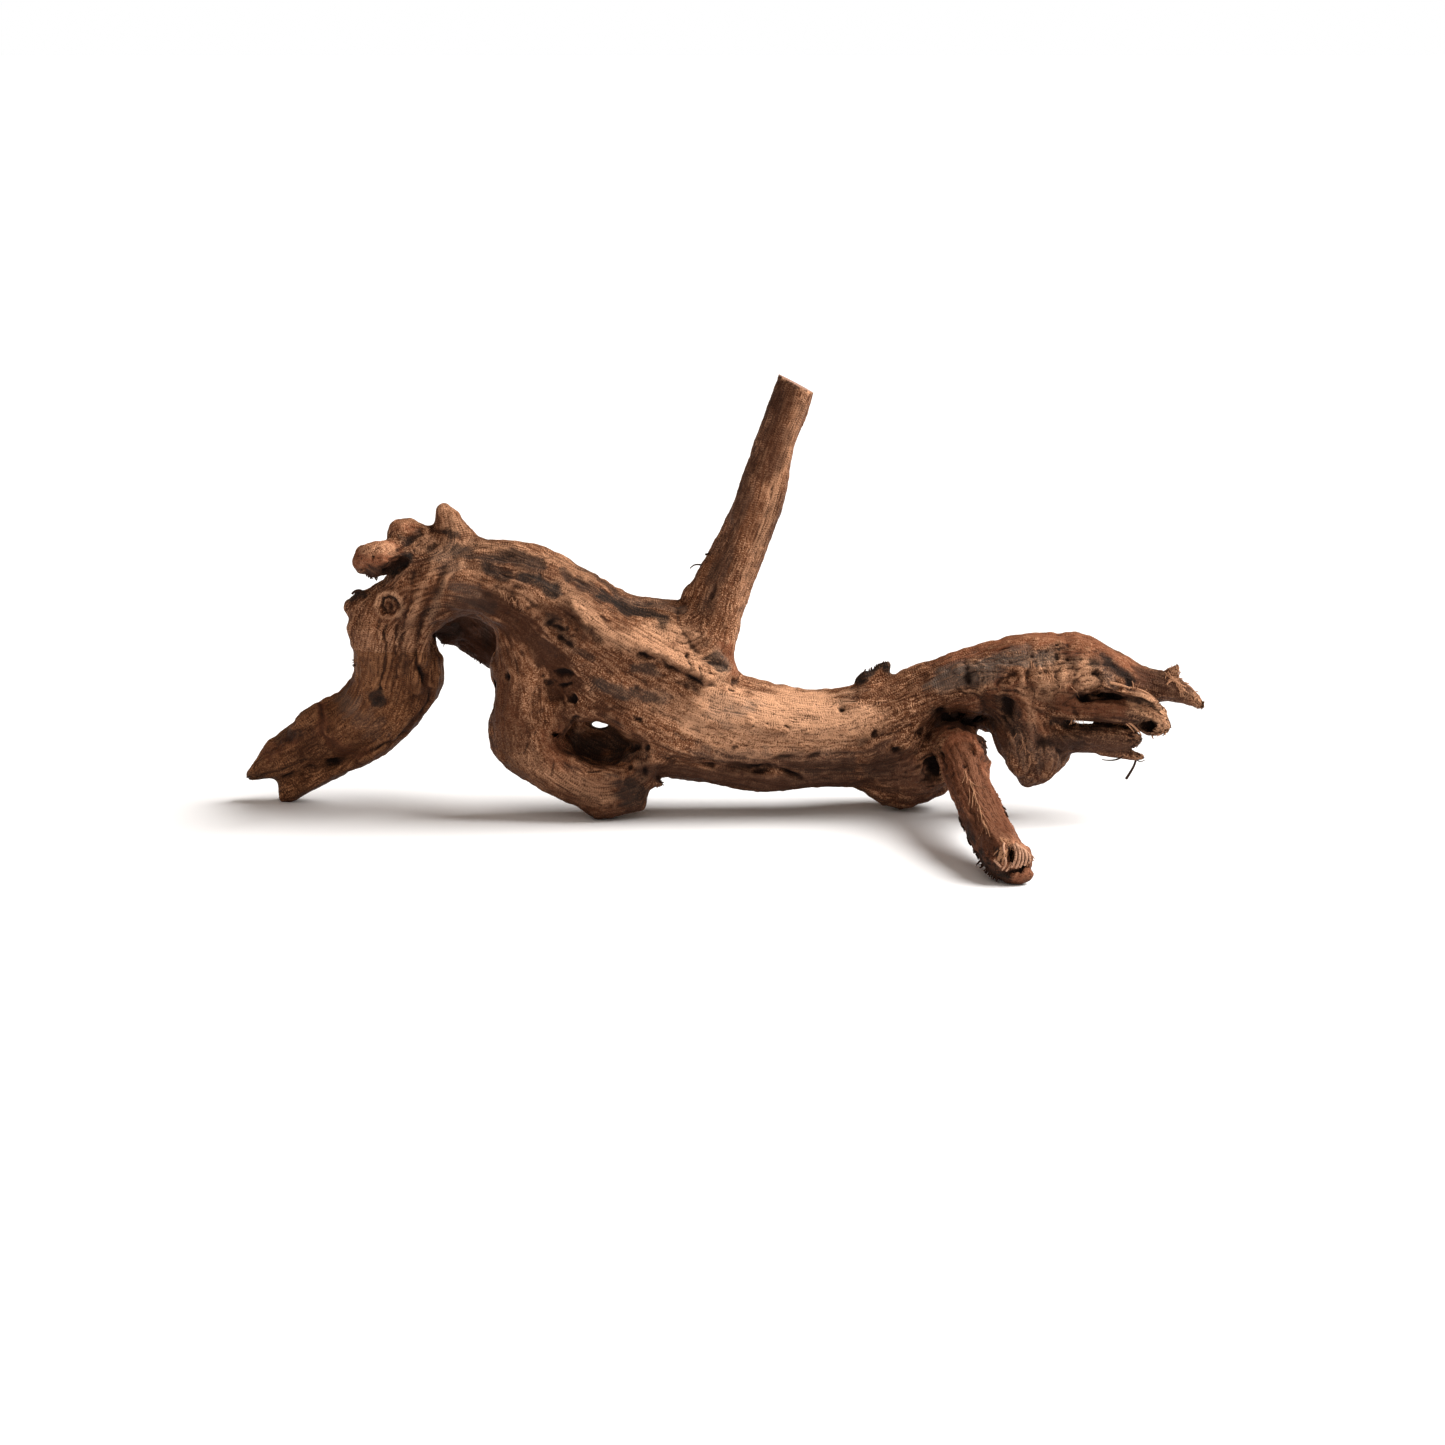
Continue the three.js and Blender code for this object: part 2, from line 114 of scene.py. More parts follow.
# %% Floor and lamps
bpy.ops.mesh.primitive_plane_add(size=40, location=(0, 12, 0))
floor = bpy.context.object
floor.name = "studio_floor"
bpy.ops.object.transform_apply(location=True, rotation=True, scale=True)
floor_paint = bpy.data.materials.new("studio_white")
floor_paint.use_nodes = True
floor_shader = floor_paint.node_tree.nodes["Principled BSDF"]
floor_shader.inputs["Base Color"].default_value = (0.93, 0.945, 0.98, 1)
floor_shader.inputs["Roughness"].default_value = 0.35
floor_shader.inputs["Specular IOR Level"].default_value = 0.25
floor.data.materials.append(floor_paint)


def soft_sun(name, come_from, power, spread, colour):
    """A lamp as from a big diffuser far away. spread is how wide it looks, in degrees."""
    turn = (-Vector(come_from)).to_track_quat("-Z", "Y").to_euler()
    bpy.ops.object.light_add(type="SUN", location=come_from, rotation=turn)
    lamp = bpy.context.object
    lamp.name = name
    lamp.data.energy = power
    lamp.data.angle = math.radians(spread)
    lamp.data.color = colour
    return lamp


soft_sun("key", (0.98, 0.06, 1.0), 6.8, 42, (1.0, 0.975, 0.93))
soft_sun("fill", (-0.1, -1.0, 0.75), 0.9, 70, (1.0, 0.9, 0.81))

ROOM_LIGHT = (0.14, 0.108, 0.086)
world = bpy.data.worlds.new("white_room")
bpy.context.scene.world = world
world.use_nodes = True
room = world.node_tree.nodes["Background"]
seen = world.node_tree.nodes.new("ShaderNodeLightPath")
choice = world.node_tree.nodes.new("ShaderNodeMix")
choice.data_type = "RGBA"
choice.inputs[6].default_value = (*ROOM_LIGHT, 1)
choice.inputs[7].default_value = (1, 1, 1, 1)
world.node_tree.links.new(seen.outputs["Is Camera Ray"], choice.inputs[0])
world.node_tree.links.new(choice.outputs[2], room.inputs["Color"])
bpy.context.scene.view_settings.view_transform = "Standard"

# %% [markdown]
# ## One skin
# Wood has no joints, so the twelve solids are copied, grown by a quarter of a millimetre until they touch
# across the gaps at the forks, and fused by a voxel remesh. It gives an even net of small faces that can be
# carved, and it hands each new face the number of the solid that it came from, which is used when the skin
# is parted again.

# %% Fuse the solids
PIECES = sorted(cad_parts)
VOXEL = 0.75 * MM
GROW = 0.25 * MM
SAME_PLACE = 0.001 * MM


def choose(*objects):
    """Selects only these objects, the first one active."""
    bpy.ops.object.select_all(action="DESELECT")
    for o in objects:
        o.select_set(True)
    bpy.context.view_layer.objects.active = objects[0]


def keep_on(o, name, values, kind="FLOAT", domain="POINT"):
    """Keeps a value of every vertex or face on an object, under a name."""
    layer = o.data.attributes.new(name, kind, domain)
    values = np.asarray(values, np.int32 if kind == "INT" else np.float32)
    layer.data.foreach_set("vector" if kind == "FLOAT_VECTOR" else "value", values.ravel())


def stamp(o, name):
    """Writes a piece's number on every face of an object."""
    keep_on(o, "piece", np.full(len(o.data.polygons), PIECES.index(name)), "INT", "FACE")


copies = []
for name in PIECES:
    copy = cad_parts[name].copy()
    copy.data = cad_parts[name].data.copy()
    copy.parent = None
    for key in list(copy.keys()):
        del copy[key]
    bpy.context.collection.objects.link(copy)
    stamp(copy, name)
    copies.append(copy)

# Lumps too small for the solids: the piece, the pixel of the middle, its drawn y and the half sizes in
# millimetres, and the lean in degrees.
SWELLINGS = dict(
    lip_left=("middle_stem", (555, 714), -5, (8, 10, 10), 0),
    lip_top=("middle_stem", (584, 711), -9, (12, 9, 5), 8),
    lip_right=("middle_stem", (622, 722), -11, (10, 7, 5), 30),
    slot_wall=("crown", (986, 717), 12, (9, 7, 6), 0),
    lower_stub=("shoulder", (380, 558), -4, (9.6, 9, 6.8), 8),
    lower_stub_tip=("shoulder", (365, 558), -3, (4.8, 5.4, 4.4), 10),
    upper_stub=("shoulder", (405, 531), 5, (7, 7, 5.4), -10),
    between_stubs=("shoulder", (424, 538), 3, (7, 8, 5.4), 0),
    top_stub=("shoulder", (448.5, 521.5), 3, (5.8, 7, 6.6), 0),
    top_stub_side=("shoulder", (452.5, 524), 3, (4.8, 7, 4.4), 42),
    top_stub_foot=("shoulder", (466, 535), 3, (6, 7, 3.4), 36),
    stub_bridge=("shoulder", (402, 543), 4, (7, 8, 4.6), -20),
    stub_bridge_high=("shoulder", (414, 530), 5, (5.4, 6, 3.6), 20),
    over_middle_prong=("crown", (1118, 697), 2, (17, 4, 5), 8),
    prong_lid=("crown", (1138, 697), -3, (9, 4.4, 3.4), 30),
    jaw_left=("jaw", (1016, 763), -2, (4, 8, 9), -35),
    stem_crest=("middle_stem", (506, 552.4), 2, (20, 10, 5.2), 6),
    leg_edge_left=("left_leg", (320.5, 715), 20, (16, 8, 5.4), -33),
    leg_edge_right=("left_leg", (405, 712), 12, (12, 8, 5.4), -48),
    branch_left_high=("upright_branch", (765.4, 455), 6, (6, 8, 36), 22.7),
    branch_corner=("upright_branch", (692, 594), 4, (4, 6, 5), 30),
    loop_left_high=("middle_stem", (502, 672), 2, (5, 8, 8), -10),
    loop_left_low=("root_loop", (505.5, 738), 0, (7, 9, 13), -14),
    loop_left_foot=("root_loop", (521.3, 764.6), -2, (9, 9, 5), 37.6),
    belly_corner=("middle_stem", (938, 787), 12, (6, 8, 4.2), -12),
    front_leg_right=("front_leg", (980, 763), -30, (4, 7, 9), -12),
    branch_left=("upright_branch", (704.5, 576), 4, (3.4, 7, 13), 27),
    prong_fill=("middle_prong", (1134, 704), -6, (9, 5, 3.4), 22),
    foot_corner=("front_leg", (1026, 858), -115, (3.6, 4, 2.8), 30),
    foot_lip=("front_leg", (1018, 875.5), -115, (6.8, 4, 3.3), -7),
    root_edge=("back_root", (449, 638), 25, (5, 4.4, 3.4), 10),
    sawn_end=("upright_branch", (796.3, 381.5), 10, (8.2, 8, 7), 28),
    behind_mouth=("lower_prong", (1119, 724), 1, (11, 4, 4.5), 2),
    prong_knuckle=("middle_prong", (1151, 719), -8, (8.4, 6.5, 6.2), 42),
    prong_body=("middle_prong", (1114, 710), -8, (16, 6, 4.8), 5),
    lower_prong_body=("lower_prong", (1104, 738), -6, (16, 6, 5.4), 4),
    flake_low=("middle_stem", (866.5, 679), 4, (5, 3, 3.4), -25),
    flake_high=("middle_stem", (881, 672.5), 5, (3.2, 2.6, 4.0), -10),
    flake_tip=("middle_stem", (887, 668), 4, (1.8, 1.8, 3.2), 15),
    shoulder_flake=("shoulder", (359, 594), 6, (2.4, 2.4, 2.2), 0),
    strand_end=("left_leg", (290, 791), 27, (5.6, 5, 3.8), -12),
    strand_gap=("left_leg", (290, 784), 26, (6, 5, 3.4), -15),
    bowl_floor=("root_loop", (602, 777), -10, (12, 10, 5), 0),
    bowl_floor_left=("root_loop", (576, 768), -10, (8, 9, 5.4), 30),
    slot_back=("middle_stem", (962, 715), 8, (11, 5, 7), 4),
    leg_shoulder=("front_leg", (973, 749), -16, (6, 6, 7), 20),
    shoulder_bump=("shoulder", (350, 606), 6, (3.4, 4, 4), 0),
)
# Hollows, in the same way.
HOLLOWS = dict(
    bowl=("root_loop", (598, 745), -13, (12.2, 20, 9), 4),
    bowl_peep=("middle_stem", (599, 724.7), 10, (5.4, 30, 1.9), 4),
    arch_top=("shoulder", (469, 624), -8, (9.5, 16, 6.4), 4),
    crown_slope=("crown", (1117, 630.5), 2, (26, 30, 8), 29),
    jaw_right=("jaw", (1065, 784), 0, (14, 30, 6), -39),
    foot_neck=("front_leg", (1020, 827), -98, (3.4, 16, 9), -29),
    saddle_slope=("middle_stem", (627, 578.5), 2, (15, 30, 6), 28),
    stub_trim=("upper_prong", (1182.4, 665), -1, (2.0, 30, 4), 15),
    slot=("middle_stem", (966, 721), -14, (8, 8, 3), 9),
    arch_corner=("shoulder", (452, 633), -2, (6, 20, 6), 0),
    under_stub=("shoulder", (393, 571), -8, (8.5, 9, 2.5), -38),
    torn_hollow=("middle_prong", (1148, 727), -15, (4.4, 7, 2.8), 12),
    foot_hole=("front_leg", (1011, 856), -114, (2.0, 6, 3.2), -15),
    foot_slit=("front_leg", (1018, 843), -112, (3, 4, 0.9), 42),
    neck_slit=("crown", (980.5, 731), 0, (1.3, 30, 3.0), 0),
)


def balls(table):
    """Uv spheres at the places of a table, tipped along the camera's view, each stamped with its piece."""
    made = []
    for owner, pixel, y, half_sizes, lean in table.values():
        middle = in_frame(off_photo(*pixel, y))
        bpy.ops.mesh.primitive_uv_sphere_add(segments=24, ring_count=12, location=middle)
        ball = bpy.context.object
        ball.scale = Vector(half_sizes) * MM
        ball.rotation_euler = (-ELEVATION, math.radians(lean), 0)
        bpy.ops.object.transform_apply(location=True, rotation=True, scale=True)
        stamp(ball, owner)
        made.append(ball)
    return made


def even_net():
    """Gives the skin an even net of small faces, each with the number of its piece."""
    choose(skin)
    skin.data.remesh_voxel_size = VOXEL
    skin.data.use_remesh_preserve_attributes = True
    bpy.ops.object.voxel_remesh()


copies += balls(SWELLINGS)
choose(*copies)
bpy.ops.object.join()
skin = bpy.context.object
skin.name = "driftwood_skin"
skin.data.materials.clear()
bpy.ops.object.mode_set(mode="EDIT")
bpy.ops.mesh.select_all(action="SELECT")
bpy.ops.mesh.remove_doubles(threshold=SAME_PLACE)
bpy.ops.transform.shrink_fatten(value=GROW)
bpy.ops.object.mode_set(mode="OBJECT")
even_net()

for ball in balls(HOLLOWS):
    choose(skin)
    cut = skin.modifiers.new("hollow", "BOOLEAN")
    cut.operation = "DIFFERENCE"
    cut.solver = "MANIFOLD"
    cut.object = ball
    bpy.ops.object.modifier_apply(modifier=cut.name)
    choose(ball)
    bpy.ops.object.delete()
even_net()
print("skin:", len(skin.data.vertices), "vertices")

# %% Read and write the skin
def vectors(items, key):
    """One vector of every vertex or face of a mesh, as rows."""
    flat = np.empty(3 * len(items), np.float32)
    items.foreach_get(key, flat)
    return flat.reshape(-1, 3)


def drawn(at):
    """Places in the frame in metres as drawn places in millimetres."""
    return at / np.float32(MM) - DRAWN_ZERO.astype(np.float32)


def places(mesh):
    """Every vertex of a mesh, in drawn millimetres."""
    return drawn(vectors(mesh.vertices, "co"))


def put_places(mesh, at):
    """Moves every vertex of a mesh to drawn millimetres."""
    mesh.vertices.foreach_set("co", in_frame(at).astype(np.float32).ravel())
    mesh.update()


def outward(mesh):
    """The direction out of the wood at every vertex."""
    return vectors(mesh.vertex_normals, "vector")


def smoothed(steps):
    """Where Smooth modifiers, each with its factor and repeats, would bring the skin's vertices."""
    for factor, repeats in steps:
        smooth = skin.modifiers.new("smooth", "SMOOTH")
        smooth.factor = factor
        smooth.iterations = repeats
    shown = skin.evaluated_get(bpy.context.evaluated_depsgraph_get())
    result = places(shown.data)
    skin.modifiers.clear()
    return result


def softened(repeats):
    """Where plain smoothing would bring the skin's vertices."""
    return smoothed([(0.5, repeats)])


def eased(passes):
    """The same, but each smoothing step is followed by one outwards, so that thin wood doesn't shrink."""
    return smoothed([(0.5, 1), (-0.53, 1)] * passes)


print("drawn box in mm:", places(skin.data).min(0).round(1), places(skin.data).max(0).round(1))

# %% [markdown]
# ## Limbs
# Two later steps need to know how the wood grew: how thick each limb is, and which way it runs. Both are
# read from a line through the middle of every limb.

# %% Lines through the limbs
# Places in drawn millimetres, and the limb's thickness there, from its middle out.
GRAIN_LINES = dict(
    leg=[(-206, 27, 9, 4), (-183, 26, 20, 11), (-164, 22, 33, 13), (-151, 18, 41, 14), (-141, 14, 55, 15),
         (-139, 10, 76, 17), (-134, 9, 89, 16), (-119, 6, 101, 15)],
    leg_strand=[(-187, 27, 2, 5), (-165, 23, 15, 5), (-141, 16, 30, 5), (-124, 13, 49, 7),
                (-124, 11, 70, 8)],
    stem=[(-124, 4, 104, 15), (-93, 4, 98, 19), (-61, 4, 79, 23), (-30, 4, 54, 24), (6, 4, 40, 19),
          (32, 4, 36, 18), (72, 5, 39, 18), (90, 2, 54, 14), (105, 2, 59, 15), (134, 2, 60, 19),
          (152, 2, 65, 15), (171, 2, 57, 9), (186, 1, 55, 6), (203, -1, 46, 3)],
    saddle=[(-84, 4, 96, 14), (-51, 4, 86, 14), (-25, 4, 78, 14)],
    loop=[(-79, 3, 72, 18), (-81, 1, 50, 16), (-81, -1, 34, 15), (-67, -3, 20, 12), (-44, -3, 10, 12),
          (-36, -3, 20, 9), (-24, 0, 36, 10), (-14, 1, 44, 11)],
    rib=[(-36, 6, 24, 7), (-8, 6, 20, 8), (33, 6, 20, 9), (62, 9, 22, 14), (92, 14, 20, 14)],
    back_root=[(-124, 18, 93, 10), (-105, 35, 70, 10), (-83, 22, 58, 10)],
    branch=[(-9, 4, 66, 15), (-2, 4, 92, 12), (9, 5, 118, 11), (18, 6, 146, 9), (36, 8, 195, 8)],
    jaw=[(122, 2, 62, 14), (128, 2, 46, 16), (132, 0, 28, 14), (128, 0, 12, 6)],
    middle_prong=[(128, -6, 49, 6), (158, -9, 47, 6), (187, -9, 38, 5)],
    lower_prong=[(128, -5, 36, 6), (158, -6, 35, 5), (177, -5, 30, 4)],
    front_leg=[(96, 12, 33, 10), (100, -24, 27, 9), (103, -62, 18, 9), (109, -95, 11, 9),
               (115, -118, 6, 8)],
    top_stub=[(-109, 2, 106, 13), (-112, 2, 118, 9), (-117, 2, 134, 4)],
    upper_stub=[(-120, 8, 109, 9), (-136, 8, 122, 5)],
    lower_stub=[(-121, -1, 107, 9), (-156, -3, 109, 6)],
)


def from_span(at, start, end):
    """Where between two ends each place is nearest to their line, as a share, and its gap from there."""
    run = end - start
    share = np.clip((at - start) @ run / (run @ run), 0, 1)
    return share, at - start - share[:, None] * run


def limb_spans(at):
    """For every span of the lines: its run, each place's gap from it, and the limb's thickness there."""
    for line in GRAIN_LINES.values():
        for start, end in zip(line[:-1], line[1:]):
            a, b = np.float32(start), np.float32(end)
            share, gap = from_span(at, a[:3], b[:3])
            yield b[:3] - a[:3], gap, a[3] + (b[3] - a[3]) * share


def girth(at):
    """How thick the thickest limb near each place is, from its middle out, in millimetres."""
    best = np.zeros(len(at), np.float32)
    for _, gap, radius in limb_spans(at):
        far = np.linalg.norm(gap, axis=1)
        best = np.maximum(best, radius * np.clip(2.6 - far / radius, 0, 1))
    return best


print("limbs:", len(GRAIN_LINES))

# %% [markdown]
# ## Soften
# The solids are tubes pushed into each other, with sharp creases between them. Wood flows from one into the
# other, so the creases are filled first: each vertex may move outwards to where a long smoothing would take
# it, but not inwards. The facets are then taken away by small steps of smoothing, each followed by a step
# outwards, which leaves the thin prongs as thick as they were. The thick limbs can bear some plain
# smoothing as well.

# %% Fill the creases and take off the facets
FILL_REPEATS = 90
FILL_MOST = 2.5  # millimetres
FACET_PASSES = 26
ROUND_REPEATS = 50
LAST_REPEATS = 3
THIN = 6.0  # limbs up to this thickness, from the middle out, bear no plain smoothing
THICK = 11.0  # and limbs from this thickness on bear all of it


def dots(first, second):
    """The dot products of two rows of vectors."""
    return np.einsum("ij,ij->i", first, second)


at = places(skin.data)
out = outward(skin.data)
rise = dots(softened(FILL_REPEATS) - at, out)
put_places(skin.data, at + out * np.clip(rise, 0, FILL_MOST)[:, None])

put_places(skin.data, eased(FACET_PASSES))
at = places(skin.data)
thick = np.clip((girth(at) - THIN) / (THICK - THIN), 0, 1)
put_places(skin.data, at + thick[:, None] * (softened(ROUND_REPEATS) - at))
put_places(skin.data, softened(LAST_REPEATS))
print("filled up to", round(float(rise.max()), 2), "mm")

# %% [markdown]
# ## Grain
# Weathered wood is all grain: its streaks, cracks and ridges run along the limbs, and swirl round each
# knot. Near a limb the grain follows the limb's line, and where limbs meet it turns smoothly from one to
# the other. The result is kept on a grid of boxes that fills the room round the wood, so that it can be
# looked up anywhere.

# %% The way of the grain
CELL = 3.0
GRID_LOW = np.array([-212.0, -126.0, -8.0], np.float32)
GRID_SHAPE = (142, 64, 68)
HOLD_FADES = 1.8  # how fast a limb's hold on the grain fades with distance
HOLD_FAR_OFF = 1e-5  # what is left of it far away


def unit(rows, spare=0.0):
    """Vectors brought to length 1. A spare length keeps zero vectors from being divided by nothing."""
    return rows / (np.linalg.norm(rows, axis=-1, keepdims=True) + spare)


def along_the_limbs(at):
    """The way of the grain at each place, from the limbs alone."""
    way = np.zeros_like(at)
    for run, gap, radius in limb_spans(at):
        far = dots(gap, gap) / radius**2
        way += (np.exp(-HOLD_FADES * far) + HOLD_FAR_OFF / (1 + far))[:, None] * unit(run)
    return unit(way)


def box_corners(inside):
    """The eight corners of the box round each place: its end of each axis, and how much it counts."""
    for corner in range(8):
        ends = [(corner >> axis) & 1 for axis in range(3)]
        weight = np.ones(len(inside), np.float32)
        for axis, end in enumerate(ends):
            weight *= inside[:, axis] if end else 1 - inside[:, axis]
        yield ends, weight


def looked_up(grid, at):
    """The value of a grid of vectors at each place, blended from the eight boxes round it."""
    q = (at - GRID_LOW) / np.float32(CELL)
    low = np.clip(np.floor(q).astype(np.int32), 0, np.array(GRID_SHAPE, np.int32) - 2)
    first = (low[:, 0] * GRID_SHAPE[1] + low[:, 1]) * GRID_SHAPE[2] + low[:, 2]
    steps = (GRID_SHAPE[1] * GRID_SHAPE[2], GRID_SHAPE[2], 1)
    flat = grid.reshape(-1, 3)
    total = np.zeros((len(at), 3), np.float32)
    for ends, weight in box_corners(np.clip(q - low, 0, 1).astype(np.float32)):
        total += weight[:, None] * flat[first + sum(end * step for end, step in zip(ends, steps))]
    return total


axes = [GRID_LOW[i] + CELL * np.arange(GRID_SHAPE[i], dtype=np.float32) for i in range(3)]
coarse = np.stack(np.meshgrid(*[axis[::2] for axis in axes], indexing="ij"), axis=-1)
coarse_way = along_the_limbs(coarse.reshape(-1, 3)).reshape(coarse.shape)
grain = np.repeat(np.repeat(np.repeat(coarse_way, 2, 0), 2, 1), 2, 2)
for axis in range(3):
    grain = (grain + np.roll(grain, -1, axis)) / 2
print("grain grid:", grain.shape[:3], "boxes of", CELL, "mm")

# %% [markdown]
# ## Where the camera sees the skin
# Knots, holes, cracks and stains are copied from the photograph: each is a row of pixels, or a middle and a
# size. To carve one, the script needs every vertex's pixel, and must leave alone what is hidden behind nearer
# wood. A coarse picture of the nearest depth in every few pixels tells which vertices are in sight.

# %% Pixels of the skin
SIGHT_CELL = 3  # photo pixels
BEHIND = 7.0  # millimetres behind the nearest wood from which a vertex is hidden
EDGE_ON = -0.05  # how far a vertex may face away and still be in sight
SIGHT_FADES = 0.3

at = places(skin.data)
out = outward(skin.data)
column, row, depth = on_photo(at)
eye = in_frame(AIM_DRAWN) + DISTANCE * np.array(backwards)
facing = dots(out, unit((eye - in_frame(at)).astype(np.float32)))

bins = PHOTO_SIDE // SIGHT_CELL + 2
bin_of = (row / SIGHT_CELL).astype(int) * bins + (column / SIGHT_CELL).astype(int)
nearest = np.full(bins * bins, np.inf)
np.minimum.at(nearest, bin_of, depth)
in_sight = (depth < nearest[bin_of] + BEHIND) & (facing > EDGE_ON)
sight = np.where(in_sight, np.clip((facing - EDGE_ON) / SIGHT_FADES, 0, 1), 0).astype(np.float32)
print("in sight:", int(in_sight.sum()), "vertices")


def spot(u, v):
    """The vertex in sight that is nearest to a pixel."""
    return int(np.argmin((column - u) ** 2 + (row - v) ** 2 + np.where(in_sight, 0, 1e6)))


# %% [markdown]
# ## Knots
# A knot is where a twig once left the wood. It has rings of its own, and the grain parts before it and
# closes behind it, as water does round a post. The grid of the grain is bent in that way round every knot:
# the ones that the photograph shows, and some at the back, which it doesn't.

# %% Bend the grain round the knots
# Pixel and radius in millimetres of each knot in the photograph.
KNOTS = dict(
    ringed=(389, 604, 4.6),
    leg_stain=(376, 698, 3.4),
    shoulder_eye=(520, 601, 3),
    upper_hollow=(556, 627, 3),
    pit_cluster=(556, 678, 2.6),
    stem_freckle=(735, 747, 2.4),
    trunk=(840, 709, 3),
    belly=(897, 749, 4.2),
    belly_small=(922, 732, 3),
    grey_eye=(977, 676, 3),
    cheek=(1006, 706, 4.4),
    crown_bump=(1087, 682, 3),
    foot=(995, 845, 4.6),
    branch_base=(718, 665, 3.2),
    loop_side=(509, 677, 2.6),
    leg_tip=(289, 735, 4),
)
# Drawn x and z, and radius, of the knots at the back.
KNOTS_BEHIND = dict(
    leg=(-146, 62, 4),
    shoulder=(-112, 104, 5),
    stem_high=(-66, 86, 4.6),
    stem_low=(-34, 52, 5.2),
    trunk=(14, 42, 3.8),
    trunk_end=(62, 40, 4.4),
    crown=(128, 66, 5.4),
    crown_low=(140, 48, 3.4),
    branch=(4, 104, 3.2),
    loop=(-76, 38, 4.2),
)


def spot_behind(x, z):
    """The vertex on the back of the wood that is nearest to a drawn x and z."""
    far = (at[:, 0] - x) ** 2 + (at[:, 2] - z) ** 2
    return int(np.argmin(far - 0.2 * at[:, 1] * (out[:, 1] > 0.2)))


def hump(x):
    """1 at zero, and falling smoothly to nearly 0 at two on either side."""
    return np.exp(-(x**2))


KNOT_REACH = 5.0  # in radii of the knot

knots = [(spot(u, v), size) for u, v, size in KNOTS.values()]
knots += [(spot_behind(x, z), size) for x, z, size in KNOTS_BEHIND.values()]
grid_places = np.stack(np.meshgrid(*axes, indexing="ij"), axis=-1)
for vertex, size in knots:
    from_corner = at[vertex] - GRID_LOW
    first = (from_corner - KNOT_REACH * size) / CELL
    last = (from_corner + KNOT_REACH * size) / CELL
    box = tuple(slice(max(0, int(low)), int(high) + 2) for low, high in zip(first, last))
    offset = grid_places[box] - at[vertex]
    lift = offset @ out[vertex]
    flat = offset - lift[..., None] * out[vertex]
    far = np.linalg.norm(flat, axis=-1) + 0.3
    ray = flat / far[..., None]
    way = grain[box]
    across = np.einsum("...i,...i->...", way, ray)[..., None] * ray
    strength = np.clip(size / far, 0, 1) ** 2 * hump(lift / (3 * size))
    grain[box] = way - strength[..., None] * (2 * across - way) * np.minimum(1, far / size)[..., None]
grain = unit(grain, 1e-6)
print("knots:", len(knots))

# %% [markdown]
# ## Streaks
# A streak is the same shade of wood carried along the grain. It is made by averaging: from each vertex a
# path is followed up and down the grain, a solid speckle is read at every step, and the mean of it is the
# streak's shade. Neighbours along the grain share most of their path, so they get nearly the same shade,
# and neighbours across it don't. Speckles of three sizes give bands, strands and fibres.

# %% Speckle and streaks
SPECKLE_SIDE = 64
chance = np.random.default_rng(41)
SPECKLE = chance.random((SPECKLE_SIDE,) * 3, dtype=np.float32).reshape(-1)


def speckle(at, size, shift=0.0):
    """Smooth solid noise from 0 to 1 whose grains are size millimetres wide."""
    q = at / np.float32(size) + np.float32(shift)
    low = np.floor(q).astype(np.int32)
    f = (q - low).astype(np.float32)
    both = (low & (SPECKLE_SIDE - 1), (low + 1) & (SPECKLE_SIDE - 1))
    total = np.zeros(len(at), np.float32)
    for ends, weight in box_corners(f * f * (3 - 2 * f)):
        ix, iy, iz = [both[end][:, axis] for axis, end in enumerate(ends)]
        total += weight * SPECKLE[(ix * SPECKLE_SIDE + iy) * SPECKLE_SIDE + iz]
    return total


def evened(values):
    """Values shifted and scaled to a mean of 0 and a spread of 1."""
    return (values - values.mean()) / values.std()


# Width of the grains of each speckle, and the step along the grain, in millimetres.
BAND = 8.0
BROAD = 3.4
NARROW = 1.4
STEP = 1.0
REACH = 20  # steps each way
NARROW_REACH = 10
BAND_SHIFT = 4.2

way_here = looked_up(grain, at)
way_here = unit(way_here - dots(way_here, out)[:, None] * out, 1e-6)
band = speckle(at, BAND, BAND_SHIFT)
broad = speckle(at, BROAD)
narrow = speckle(at, NARROW)
for sense in (1, -1):
    walker = at.copy()
    heading = way_here * sense
    for step in range(REACH):
        walker = walker + STEP * heading
        turn = looked_up(grain, walker)
        heading = unit(turn * np.sign(dots(turn, heading) + 1e-9)[:, None], 1e-6)
        if step % 2 == 1:
            broad += speckle(walker, BROAD)
        if step % 4 == 3:
            band += speckle(walker, BAND, BAND_SHIFT)
        if step < NARROW_REACH:
            narrow += speckle(walker, NARROW)
band = evened(band)
broad = evened(broad)
narrow = evened(narrow)
lumps = evened(speckle(at, 17, 3.3) + 0.5 * speckle(at, 7.5, 9.1))
patches = evened(speckle(at, 30, 5.7) + 0.6 * speckle(at, 12, 1.9))
print("streaks:", len(at), "vertices followed for", REACH, "steps each way")

# %% [markdown]
# ## Carving
# Everything that is carved is first added up as a height at every vertex, in millimetres out of the wood,
# and the skin is moved once at the end. The streaks come first, deep in some places and nearly absent in
# others, as on the real one, where water has worn the tops smooth.

